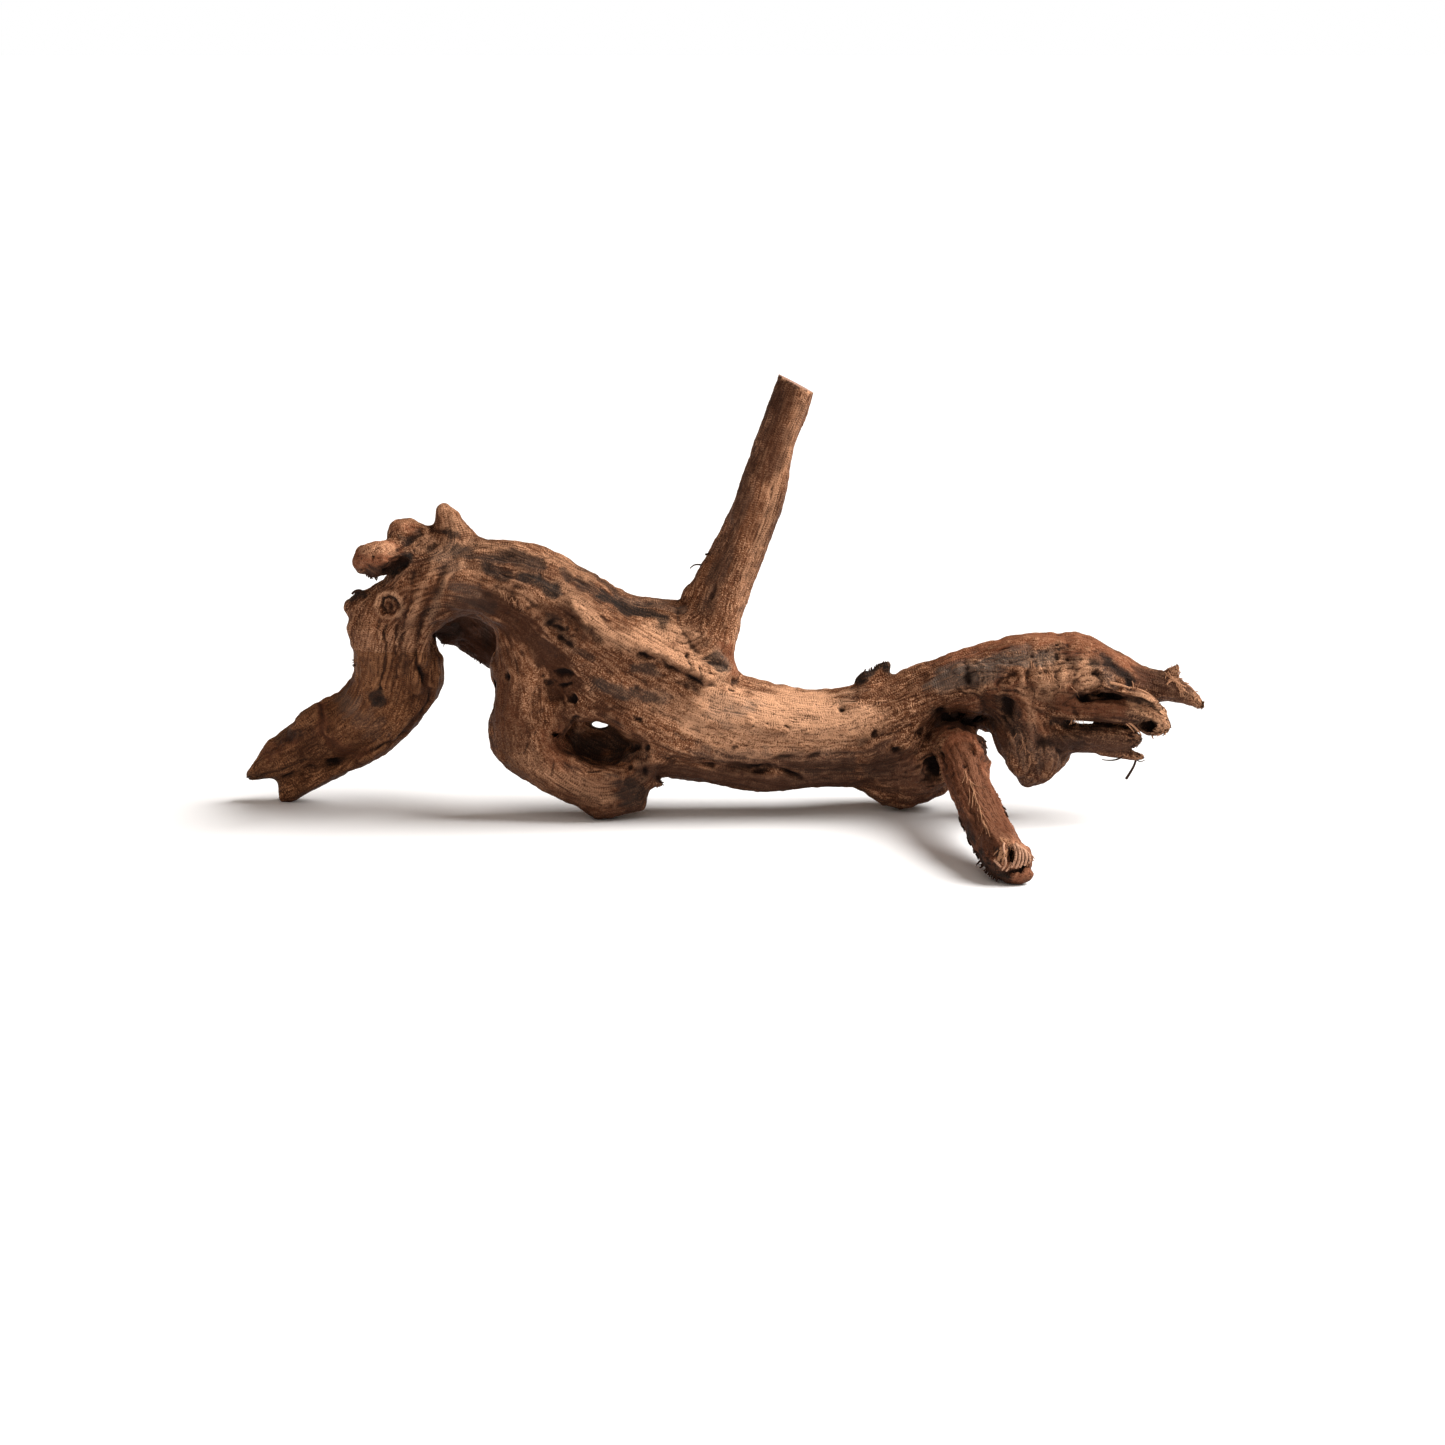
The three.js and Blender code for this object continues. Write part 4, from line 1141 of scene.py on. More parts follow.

# %% [markdown]
# ## Tints
# Colour is not carved. Each kind of tint is a number from 0 to 1 at every vertex: hollows, creases and
# undersides are darkened as painted shade, ridges are worn to tan with some painted highlights, and some
# streaks are grey or nearly black.
# Tints from the photograph are rows of pixels again.

# %% Stains and painted shade, grey places, and worn places with painted highlights
# A row of pixels, its half width in millimetres, and its strength.
# Dark stains, and painted shade in the hollows, slots and mouth and under the stubs, prongs and foot.
STAINS_AND_SHADE = dict(
    under_stub=([(370, 575), (382, 573), (394, 569), (404, 562), (409, 552)], 2.6, 1),
    between_stubs=([(398, 536), (408, 540), (416, 532)], 1.6, 0.7),
    top_stub_foot=([(441, 531), (450, 534), (459, 534)], 1.3, 0.75),
    bark_flake=([(857, 681), (866, 674), (874, 667), (884, 663), (890, 669)], 2.6, 1),
    shoulder_flake=([(356, 596), (361, 592)], 2.6, 1),
    over_prong=([(1082, 696), (1112, 695)], 1.8, 0.95),
    over_prong_end=([(1112, 695), (1134, 699), (1154, 706)], 1, 0.9),
    foot_side=([(956, 812), (972, 850), (982, 866)], 1.8, 0.95),
    foot_under=([(981, 861), (990, 869), (1001, 877)], 3.4, 1),
    eye_holes=([(551, 622), (560, 630), (569, 643)], 3.4, 0.7),
    eye_right=([(572, 648), (590, 656)], 2, 0.6),
    belly_dark=([(866, 772), (884, 768)], 4.4, 0.5),
    stem_a=([(458, 552), (486, 560), (512, 557), (540, 566)], 2.4, 0.75),
    stem_b=([(486, 567), (509, 576)], 2.6, 0.85),
    stem_c=([(522, 577), (553, 591)], 2.8, 0.95),
    saddle=([(560, 571), (590, 588), (606, 600)], 1.4, 0.75),
    saddle_black=([(598, 596), (615, 604)], 2.6, 1),
    saddle_broad=([(622, 607), (648, 613), (664, 618)], 3.2, 0.95),
    knot_ring=([(382, 603), (384, 597), (390, 596), (396, 599)], 0.7, 0.8),
    fan_gap=([(1015, 850), (1022, 855), (1027, 860)], 2.2, 0.8),
    foot_hollow=([(998, 853), (1001, 859)], 1.4, 0.9),
    foot_split=([(1003, 872), (1019, 870), (1033, 863)], 0.7, 0.7),
    saddle_edge=([(571, 559), (588, 570), (617, 593)], 1.2, 0.7),
    streak_upper=([(634, 668), (652, 673)], 2.2, 0.6),
    streak_lower=([(597, 686), (620, 690), (640, 694), (660, 702)], 2.8, 0.62),
    bowl_right=([(636, 744), (645, 760), (640, 778)], 4, 0.55),
    leg_tip_end=([(250, 772), (262, 776), (276, 782)], 1.6, 0.5),
    arch_top=([(456, 603), (486, 612)], 4, 0.6),
    arch_left=([(444, 582), (436, 600), (434, 622)], 2, 0.6),
    loop_foot=([(626, 788), (640, 798), (634, 808)], 4.4, 0.8),
    leg_spot=([(374, 697), (380, 701)], 3, 0.95),
    leg_tip=([(282, 738), (296, 732)], 3, 0.55),
    leg_fold=([(406, 618), (402, 650), (404, 672)], 2, 0.3),
    trunk=([(842, 704), (856, 696), (862, 690)], 3, 0.4),
    rib=([(790, 768), (826, 768), (852, 764)], 3.6, 0.5),
    crown_groove=([(1111, 661), (1119, 670), (1129, 681)], 2.6, 0.95),
    crown_groove_top=([(1104, 654), (1111, 661)], 1.1, 0.8),
    bowl=([(584, 745), (612, 747)], 8.5, 0.85),
    crown_eye=([(968, 672), (966, 686)], 1.8, 0.6),
    crown_pits=([(1040, 655), (1062, 650), (1070, 658)], 3.4, 0.5),
    crown_dark=([(1094, 668), (1100, 676)], 3, 0.7),
    cheek=([(1004, 700), (1008, 714), (1010, 726)], 4, 0.75),
    collar=([(985, 712), (995, 722)], 4, 0.7),
    under_prong=([(1044, 742), (1082, 746)], 3.2, 0.6),
    mouth=([(1052, 722), (1135, 724)], 2.2, 0.8),
    middle_prong_end=([(1128, 712), (1150, 724)], 3, 0.5),
    branch_foot=([(714, 661), (722, 669)], 3, 0.75),
    branch_left=([(706, 606), (716, 566)], 2.4, 0.25),
    leg_front_edge=([(982, 738), (990, 760)], 2, 0.8),
    slot=([(940, 716), (978, 724)], 3, 0.8),
)
GREYS = dict(
    shoulder=([(444, 556), (452, 566)], 5, 0.5),
    arch=([(458, 590), (484, 606)], 5, 0.6),
    shoulder_top=([(436, 550), (448, 560), (444, 572)], 3.4, 0.35),
    streak_upper=([(636, 669), (656, 674)], 2.2, 0.5),
    streak_lower=([(604, 686), (634, 692), (662, 699)], 3, 0.6),
    saddle=([(618, 599), (660, 603), (684, 610)], 2.4, 0.6),
    branch_foot=([(718, 660), (724, 668)], 3, 0.9),
    trunk=([(733, 712), (752, 709)], 3.6, 0.7),
    trunk_bright=([(712, 712), (728, 722)], 3, 0.5),
    trunk_pale=([(716, 700), (734, 706), (756, 706)], 3, 0.45),
    crown_left=([(944, 680), (960, 673), (978, 671), (992, 668)], 5.6, 1.15),
    crown_right=([(998, 666), (1014, 662), (1030, 660), (1042, 656)], 4.4, 1.1),
    crown_groove=([(1100, 664), (1112, 680)], 3.4, 0.6),
    leg_a=([(345, 701), (349, 705)], 4.4, 0.5),
    leg_b=([(364, 722), (374, 728)], 5, 0.35),
    loop=([(538, 640), (540, 662)], 4, 0.2),
    eye_left=([(545, 640), (551, 649)], 2.4, 0.6),
    rib=([(660, 772), (740, 780), (850, 782)], 5, 0.6),
    belly=([(880, 765), (925, 782)], 8, 0.55),
    jaw=([(1020, 745), (1050, 750)], 8, 0.6),
    trunk_under=([(700, 756), (760, 764), (850, 760)], 4, 0.5),
    trunk_top=([(760, 712), (850, 716)], 8, 0.12),
    prongs=([(1070, 742), (1120, 746)], 5, 0.4),
    upper_prong=([(1142, 676), (1176, 688)], 5, 0.3),
    branch_left=([(706, 606), (730, 530), (752, 460), (776, 396)], 4, 0.3),
)
# Worn pale places, and painted highlights where the light falls brightest, as on the trunk.
WORN_AND_LIT = dict(
    ridge=([(575, 603), (588, 620), (605, 634), (630, 642), (660, 651), (685, 664),
            (706, 681)], 3.4, 0.95),
    shelf=([(655, 628), (676, 642), (700, 658), (716, 675), (706, 668)], 6, 1.3),
    trunk=([(712, 706), (760, 716), (810, 712), (850, 722)], 9, 1.7),
    trunk_low=([(720, 735), (770, 742), (820, 738), (870, 722)], 7, 0.9),
    trunk_left=([(660, 700), (690, 716), (720, 730)], 6, 0.55),
    stem_top=([(470, 545), (520, 553), (560, 562), (588, 578)], 3, 0.3),
    stem_middle=([(520, 570), (560, 596), (600, 625), (640, 655)], 3, 0.3),
    loop_low=([(520, 760), (560, 785), (600, 795)], 5, 0.4),
    shoulder=([(420, 540), (450, 548), (486, 548)], 3.4, 0.5),
    shoulder_grey=([(440, 556), (456, 566), (476, 574)], 4, 0.3),
    stubs=([(366, 549), (378, 548), (392, 550)], 2.4, 0.8),
    crown_mid=([(1040, 668), (1056, 676), (1084, 676)], 6.6, 1.3),
    mouth_torn=([(1129, 727), (1140, 732)], 1.6, 1),
    crown_knobs=([(1036, 664), (1046, 680), (1044, 694)], 3.4, 1.2),
    crown_bump=([(1078, 684), (1094, 682)], 2.6, 0.9),
    middle_prong=([(1138, 704), (1150, 710), (1158, 716), (1166, 724)], 4, 2.6),
    leg_rib=([(436, 562), (421, 590), (413, 614), (407, 645)], 1.8, 0.35),
    shoulder_rib=([(462, 562), (448, 578), (437, 600), (430, 622)], 2, 0.5),
    knot=([(377, 604), (380, 596), (387, 592), (396, 594), (401, 601), (402, 608), (397, 615)], 1, 1),
    top_stub=([(448, 512), (452, 526)], 4.4, 0.35),
    branch_right=([(800, 400), (784, 460), (766, 530), (748, 600), (738, 640)], 3, 0.5),
    cheek_rib=([(1021, 682), (1027, 702), (1033, 722)], 2.2, 0.8),
    foot=([(1014, 846), (1025, 856), (1018, 864)], 3.8, 1),
    foot_left=([(1004, 838), (1006, 850), (1002, 866)], 2.2, 0.8),
    trunk_bright=([(694, 722), (716, 710), (744, 704), (770, 712)], 5.6, 1.8),
    saddle_pale=([(556, 590), (580, 604), (596, 622)], 4, 0.7),
    stem_fleece=([(498, 590), (516, 592), (530, 600)], 4, 0.6),
    eye_swirl=([(974, 664), (983, 672), (984, 684), (977, 692)], 1.5, 1.1),
    neck_edge=([(940, 690), (960, 690), (980, 694)], 1.4, 0.9),
    cheek_edge=([(994, 690), (990, 680), (996, 672)], 1.3, 1),
    leg_upper=([(366, 630), (374, 656), (372, 680)], 4, 0.3),
    front_leg=([(966, 760), (978, 800), (990, 830)], 4.4, 0.4),
)
# Painted shade on sides and parts that face away from the light, with some darker wood such as the knots.
SHADE_AND_DARK_WOOD = dict(
    loop_left=([(500, 660), (504, 700), (512, 740)], 9, 0.8),
    knot=([(388, 604), (391, 607)], 2.6, 0.8),
    lower_prong=([(1070, 742), (1100, 744), (1128, 748)], 4, 0.9),
    lip=([(560, 716), (590, 706), (620, 712)], 4, 0.6),
    stem_low=([(500, 604), (520, 628), (548, 656), (560, 690)], 8, 1.25),
    hood=([(545, 612), (566, 610), (580, 622), (584, 636)], 4, 0.9),
    foot_knot=([(991, 838), (996, 845), (1000, 852)], 2.8, 1),
    branch_top=([(786, 396), (776, 430), (764, 470)], 6, 0.95),
    leg_mottle=([(300, 760), (330, 744), (352, 752)], 4, 0.6),
    leg_strand=([(417, 664), (425, 681), (430, 696), (424, 713), (406, 732)], 1.5, 1),
    leg_scar=(GROOVES["leg_scar"][0], 1.8, 1),
    leg_patch=([(270, 752), (292, 742), (300, 730)], 3, 0.7),
    shoulder_hollow=([(404, 556), (416, 560), (412, 576)], 4, 0.6),
    shoulder_fold=([(444, 572), (434, 592), (424, 616), (416, 640)], 2.6, 0.4),
    shoulder_fold_left=([(420, 562), (409, 582), (401, 606), (398, 630)], 2.2, 0.4),
    stub_left=([(352, 560), (356, 569)], 2.4, 0.4),
    top_stub_left=([(439, 520), (440, 530)], 1.6, 0.6),
    arch_right=([(470, 600), (492, 612), (500, 640)], 4, 0.5),
    under_ridge=([(580, 640), (620, 668), (664, 692), (700, 716)], 5, 0.45),
    rib=([(650, 770), (700, 778), (760, 784), (850, 780)], 5, 0.9),
    trunk_low=([(700, 756), (760, 764), (830, 766)], 3, 0.35),
    belly=([(880, 760), (905, 780), (930, 790)], 10, 0.6),
    branch=([(706, 610), (722, 560), (744, 500), (764, 440), (780, 396)], 4, 0.55),
    branch_foot=([(690, 620), (700, 645)], 5, 0.4),
    jaw=([(1040, 730), (1060, 748), (1046, 765), (1024, 770)], 8, 0.25),
    prong_roots=([(1050, 704), (1072, 708)], 4.6, 0.85),
    prong_shade=([(1046, 742), (1080, 742), (1116, 744)], 4, 0.8),
    upper_prong=([(1142, 676), (1160, 682), (1176, 688)], 5, 1),
    middle_prong=([(1072, 704), (1092, 708), (1116, 711)], 4.6, 0.75),
    leg_left=([(946, 760), (956, 800), (970, 836), (984, 864)], 3.4, 0.7),
    leg=([(968, 760), (982, 800), (994, 830)], 8, 0.7),
    rib_all=([(665, 770), (720, 776), (790, 782)], 5, 1),
    loop_left_low=([(506, 740), (520, 764)], 6, 0.5),
    collar=([(990, 700), (996, 716), (1000, 740)], 4, 0.9),
    crown_left=([(948, 690), (965, 690), (982, 690)], 4, 0.4),
    tip=([(262, 760), (286, 742), (310, 730)], 5, 0.4),
    crown_fold_a=([(1054, 664), (1053, 678), (1058, 692)], 1.2, 0.6),
    crown_fold_b=([(1028, 672), (1030, 690), (1032, 706)], 1.4, 0.7),
    crown_fold_c=([(1071, 660), (1072, 676), (1074, 698)], 2.4, 0.8),
    cheek_left=([(996, 676), (992, 692)], 2, 0.5),
    jaw_right=([(1046, 726), (1062, 738), (1070, 752)], 4, 0.9),
    crown_back=([(1100, 656), (1120, 672), (1134, 688)], 3, 0.6),
    stem_top=([(470, 556), (520, 566), (570, 590)], 4, 0.5),
    foot_oval=([(987, 836), (993, 844), (999, 852)], 3.4, 1),
)
RED = dict(
    crown_top=([(950, 652), (1000, 640), (1060, 633), (1110, 648), (1136, 672)], 6, 0.8),
    cheek=([(1020, 690), (1030, 712), (1040, 730)], 6, 0.6),
    middle_prong=([(1066, 706), (1100, 706), (1122, 708)], 4.4, 0.9),
    foot_lip=([(1008, 878), (1020, 878), (1031, 872)], 3, 0.55),
    leg_scar=([(319, 705), (323, 732), (347, 750), (363, 753)], 2.2, 0.6),
    leg_patch=([(270, 752), (292, 742)], 3, 0.5),
    foot_knot=([(991, 838), (996, 845), (1000, 852)], 2.8, 0.7),
    lower_stub=([(356, 560), (374, 553), (392, 552)], 5.4, 1),
    upper_stub=([(396, 526), (410, 528)], 3, 0.5),
    front_leg=([(966, 740), (984, 790), (996, 820)], 10, 0.8),
    branch_foot=([(728, 650), (736, 668)], 4, 0.8),
    bowl_side=([(556, 742), (562, 756)], 6, 0.5),
    belly=([(900, 770), (930, 790)], 9, 0.6),
    crown_folds=([(1070, 658), (1072, 676), (1068, 694)], 4.4, 1.1),
    cheek_left=([(996, 676), (992, 692)], 3, 0.9),
    neck=([(985, 704), (960, 706)], 4, 0.6),
    loop_side=([(500, 690), (505, 720)], 6, 0.3),
)


def tint(rows):
    """Adds up rows of pixels as one tint, with edges that follow the streaks."""
    total = np.zeros(len(at), np.float32)
    for line, width, strength in rows.values():
        near, far = row_distance(line)
        ragged = far / width + 0.2 * broad[near] + 0.12 * narrow[near] + 0.16 * rough[near]
        total[near] = np.maximum(total[near], strength * soft_edge(ragged, 0.9, 8) * sight[near])
    return total


painted = {
    "stain": tint(STAINS_AND_SHADE),
    "grey": tint(GREYS),
    "worn": tint(WORN_AND_LIT),
    "red": tint(RED),
    "painted_shade_and_dark_tone": tint(SHADE_AND_DARK_WOOD),
}
print("painted:", {name: round(float(values.mean()), 3) for name, values in painted.items()})

# %% Tints that are not rows of pixels
# Painted black shade on undersides and hollows that face away too steeply for a row of pixels: middle,
# half width and half height in pixels, and strength.
BLACK_PAINTED_SHADE = dict(
    foot_left=(983, 863, 5, 6, 1.4),
    foot_low=(992, 871, 6.5, 5.5, 1.5),
    foot_lowest=(999, 876, 3, 3, 0.7),
    leg_side=(969, 838, 4.5, 18, 1.1),
    arch=(450, 629, 13, 10, 1.3),
    under_stub=(389, 572, 13, 4, 1.3),
    under_stub_left=(373, 577, 9, 3, 0.9),
    arch_right=(486, 636, 5, 16, 0.6),
    bowl=(600, 742, 20, 9, 0.6),
    cheek_left=(991, 716, 6, 8, 0.7),
)


def at_least(name, values):
    """Raises a tint to these values wherever it is lower."""
    painted[name] = np.maximum(painted[name], values)


at_least("stain", np.clip(marked_areas(BLACK_PAINTED_SHADE), 0, 1))
saw_rim = near_saw * hump((beyond_saw + 0.6) / 0.6)
chips = speckle(at, 1.5, 5.1)
at_least("worn", 1.5 * saw_rim * np.clip(4 * (chips - 0.48), 0, 1))
at_least("stain", saw_rim * np.clip(4 * (0.46 - chips), 0, 0.8))

drift = evened(speckle(at, 24, 7.7) + 0.5 * speckle(at, 9, 4.4)) + 0.35 * broad
second = evened(speckle(at, 28, 2.2) + 0.5 * speckle(at, 10, 8.4)) + 0.3 * broad
# What the camera doesn't see follows slow noise: which noise, how steeply, from which value and up to what.
UNSEEN = dict(
    stain=(drift, 1.6, 1.35, 0.9),
    grey=(second, 1.4, 1.2, 0.9),
    painted_shade_and_dark_tone=(-second, 0.7, -0.2, 0.6),
    worn=(-drift, 0.9, 0.5, 0.7),
    red=(-second, 0.9, 0.6, 0.8),
)
for name, (slow, gain, start, most) in UNSEEN.items():
    at_least(name, turned_away(0.15) * np.clip(gain * (slow - start), 0, most))

# The root behind the arch lies in the dark, and is darker the further back it is.
DARK_REACH = 11.0
root = [np.float32(place[:3]) for place in GRAIN_LINES["back_root"]]
gaps = [from_span(at, start, end)[1] for start, end in zip(root[:-1], root[1:])]
from_root = np.min([np.linalg.norm(gap, axis=1) for gap in gaps], axis=0)
at_least("painted_shade_and_dark_tone", np.clip(1.9 - from_root / DARK_REACH, 0, 1) * np.clip(0.5 + 0.1 * at[:, 1] / 2, 0, 1))
print("tinted:", {name: round(float(values.mean()), 3) for name, values in painted.items()})

# %% Keep the tints on the skin
mottle = evened(speckle(at, 6, 11.9) + 0.6 * speckle(at, 2.4, 3.7))
tints = {
    **painted,
    "sawn": near_saw & (beyond_saw > -0.05),
    # Painted shade for grooves, pits and cracks: the colour darkens them by this.
    "recess_shade": np.clip(recess_shade, 0, 1),
    # valley and dell measure how sunk the skin is; the colour darkens sunk places by them as painted shade.
    "valley": np.clip(0.5 + valley / 0.30, 0, 1),
    "dell": np.clip(0.5 + dell / 1.6, 0, 1),
    "streak": np.clip(0.5 + 0.15 * band + 0.06 * broad + 0.05 * narrow, 0, 1),
    # Painted shade: surfaces that face down are darkened.
    "under": np.clip(-0.1 - 1.2 * out[:, 2] + 0.1 * broad, 0, 1),
    "patch": np.clip(0.5 + 0.18 * patches + 0.14 * mottle, 0, 1),
    "curly": np.clip(0.3 + 0.2 * patches + marked_areas(CURLY), 0.1, 1),
    "grit": np.clip(1 + marked_areas(GRITTY), 0.4, 1.8),
}
for name, values in tints.items():
    keep_on(skin, name, values)
keep_on(skin, "grain", way_here, "FLOAT_VECTOR")
print("kept on the skin:", list(tints))

# %% [markdown]
# ## Twigs, torn fibres and bark
# The broken ends and the undersides bristle with things that are too thin for the skin: a few twigs, torn
# fibres and shreds of bark. Each is a path through five places with a thickness that tapers. A path starts
# on the skin, at the pixel where the photograph shows its root, so that it is held by the wood seen from
# any side.

# %% A helper for one strand
column, row, depth = on_photo(at)


def on_skin(u, v, lift=0.0):
    """The drawn place of the skin that is seen at a pixel, lifted a little off it."""
    vertex = spot(u, v)
    return at[vertex] + lift * out[vertex]


STRAND_PLACES = 5


def strand(path_places, thick, tip=0.35):
    """A tapering path through five drawn places, as a mesh."""
    bpy.ops.curve.primitive_nurbs_path_add()
    path = bpy.context.object
    points = path.data.splines[0].points
    for point, place, share in zip(points, path_places, np.linspace(1, tip, STRAND_PLACES)):
        point.co = (*in_frame(place), 1)
        point.radius = share
    path.data.bevel_depth = thick / 2 * MM
    path.data.bevel_resolution = 1
    path.data.resolution_u = 3
    path.data.use_fill_caps = True
    bpy.ops.object.convert(target="MESH")
    made = bpy.context.object
    run = np.subtract(path_places[-1], path_places[0])
    keep_on(made, "grain", np.tile(unit(run), len(made.data.vertices)), "FLOAT_VECTOR")
    return made


def five_along(corners):
    """Five places spread evenly along a row of places."""
    corners = np.array(corners, float)
    run = np.concatenate([[0], np.cumsum(np.linalg.norm(np.diff(corners, axis=0), axis=1))])
    want = np.linspace(0, run[-1], STRAND_PLACES)
    return np.stack([np.interp(want, run, corners[:, i]) for i in range(corners.shape[1])], axis=1)


print("a strand is a path of", STRAND_PLACES, "points")

# %% Twigs and splinters one by one
# Thickness in millimetres, share of it at the tip, and the row of pixels from root to tip.
TWIGS = dict(
    shard_twig=(0.9, 0.5, [(1123, 756), (1120, 760), (1109, 761), (1102, 759.5)]),
    hanging_twig=(1.0, 1.2, [(1136, 761), (1135, 765), (1130, 773), (1126, 779)]),
    short_twig=(0.6, 0.5, [(1136, 762), (1140, 762.5), (1145, 760)]),
    branch_twig=(0.9, 0.6, [(703, 564), (698.5, 565.5), (695, 562.5), (690, 568.5)]),
    branch_speck=(1.0, 0.9, [(709, 553), (705, 554.5)]),
    shoulder_splinter=(1.3, 0.9, [(364, 592), (360, 589), (355, 590), (352, 594)]),
)
PALE_SPLINTERS = dict(
    over_prong=(1.5, 0.7, [(1110, 683), (1118, 684), (1125, 686.5), (1130, 688.5)]),
    over_prong_curl=(0.7, 0.5, [(1126, 687), (1124.5, 690), (1122, 694)]),
    over_prong_hook=(0.8, 0.5, [(1132, 689), (1134, 685), (1132, 681)]),
    over_prong_thorn=(0.8, 0.4, [(1136, 690), (1138, 686), (1140, 682)]),
    over_prong_edge=(1.9, 0.5, [(1130, 688), (1139, 689.5), (1149, 692.5), (1154, 698), (1158, 703)]),
    mouth_a=(1.1, 0.5, [(1126, 724), (1130, 726), (1134, 732)]),
    mouth_b=(1.2, 0.5, [(1129, 723), (1134, 726), (1139, 731), (1141, 735)]),
    mouth_c=(0.9, 0.5, [(1128, 728), (1133, 733), (1137, 734)]),
)
TWIG_SUNK = -0.4  # millimetres under the skin


def reach_out(rows):
    """Strands whose first pixel is on the skin and whose other pixels stay at its depth."""
    made = []
    for thick, tip, pixels in rows.values():
        root = on_skin(*pixels[0], TWIG_SUNK)
        further = [off_photo(u, v, root[1]) for u, v in pixels[1:]]
        made.append(strand(five_along([root, *further]), thick, tip))
    return made


# Broad torn fibres in front of the foot, like a fan: thickness, share of it at the tip, row of pixels, and
# the drawn y of the five places.
OVER_THE_HOLE = (-113.6, -117.2, -119.4, -119.9, -118.2)
LEFT_OF_IT = (-116.6, -117.7, -118.5, -118.5, -117.4)
FAN = dict(
    a=(1.3, 0.8, [(1014, 845), (1017.5, 852), (1017, 860), (1011.5, 867)], OVER_THE_HOLE),
    b=(1.4, 0.8, [(1015.5, 844), (1021, 851), (1021, 860), (1016, 868)], OVER_THE_HOLE),
    c=(1.3, 0.8, [(1017, 845), (1024.5, 851), (1025, 859), (1020, 867)], OVER_THE_HOLE),
    d=(1.3, 0.8, [(1019, 846), (1028, 852), (1028.5, 858), (1024.5, 865)], OVER_THE_HOLE),
    e=(1.2, 0.7, [(1021, 848), (1031, 854), (1031.5, 858), (1029, 863)], OVER_THE_HOLE),
    left=(1.1, 0.6, [(1005, 858), (1007, 862), (1005, 867), (1002, 870)], LEFT_OF_IT),
    left_low=(1.2, 0.6, [(1011, 863), (1010, 867), (1006, 871)], LEFT_OF_IT),
    chip=(1.5, 0.5, [(995, 860), (998, 864), (1001, 867)], (-115, -116, -116.8, -117.6, -118)),
    chip_high=(1.0, 0.6, [(1004, 843), (1003, 849), (1005, 854)], (-113.9, -115.2, -116.3, -117, -117.2)),
)

dark_bits = reach_out(TWIGS)
pale_bits = reach_out(PALE_SPLINTERS)
fan_bits = []
for thick, tip, pixels, distances in FAN.values():
    fan_places = [off_photo(u, v, y) for (u, v), y in zip(five_along(pixels), distances)]
    fan_bits.append(strand(fan_places, thick, tip))
print("single twigs and splinters:", len(dark_bits) + len(pale_bits) + len(fan_bits))

# %% Fringes of torn fibres
# Row of pixels of the roots, number, way they point and length in pixels, thickness in millimetres, and
# whether they lie on the skin.
DARK_FRINGES = dict(
    foot=([(979, 860), (986, 868), (1001, 880)], 18, (-0.5, 0.9), 5, 1.1, False),
    leg_bark=([(957, 816), (966, 836), (977, 857)], 12, (0.3, 0.9), 7, 1.2, True),
    leg_flake=([(980, 740), (986, 750)], 8, (0.5, 0.9), 7, 1.3, True),
    leg_flake_low=([(1002, 808), (1005, 814)], 5, (0.5, 0.9), 6, 1.2, True),
    lower_stub=([(360, 569), (368, 574), (377, 579)], 12, (0.1, 1), 3, 1.0, False),
    back_root=([(440, 642), (452, 640), (464, 644), (478, 660), (488, 664)], 26, (0.1, 1), 4, 1.0, False),
    leg_side=([(354, 660), (355, 669)], 7, (-1, 0.1), 3, 0.7, False),
    lower_prong_end=([(1128, 734), (1134, 741), (1131, 747)], 12, (1, 0.2), 4, 0.9, False),
    spur=([(654, 777), (662, 783)], 8, (0.9, 0.4), 3, 0.9, False),
    bark_flake=([(862, 676), (874, 668), (886, 664)], 14, (0.4, -1), 3.4, 1.1, False),
)
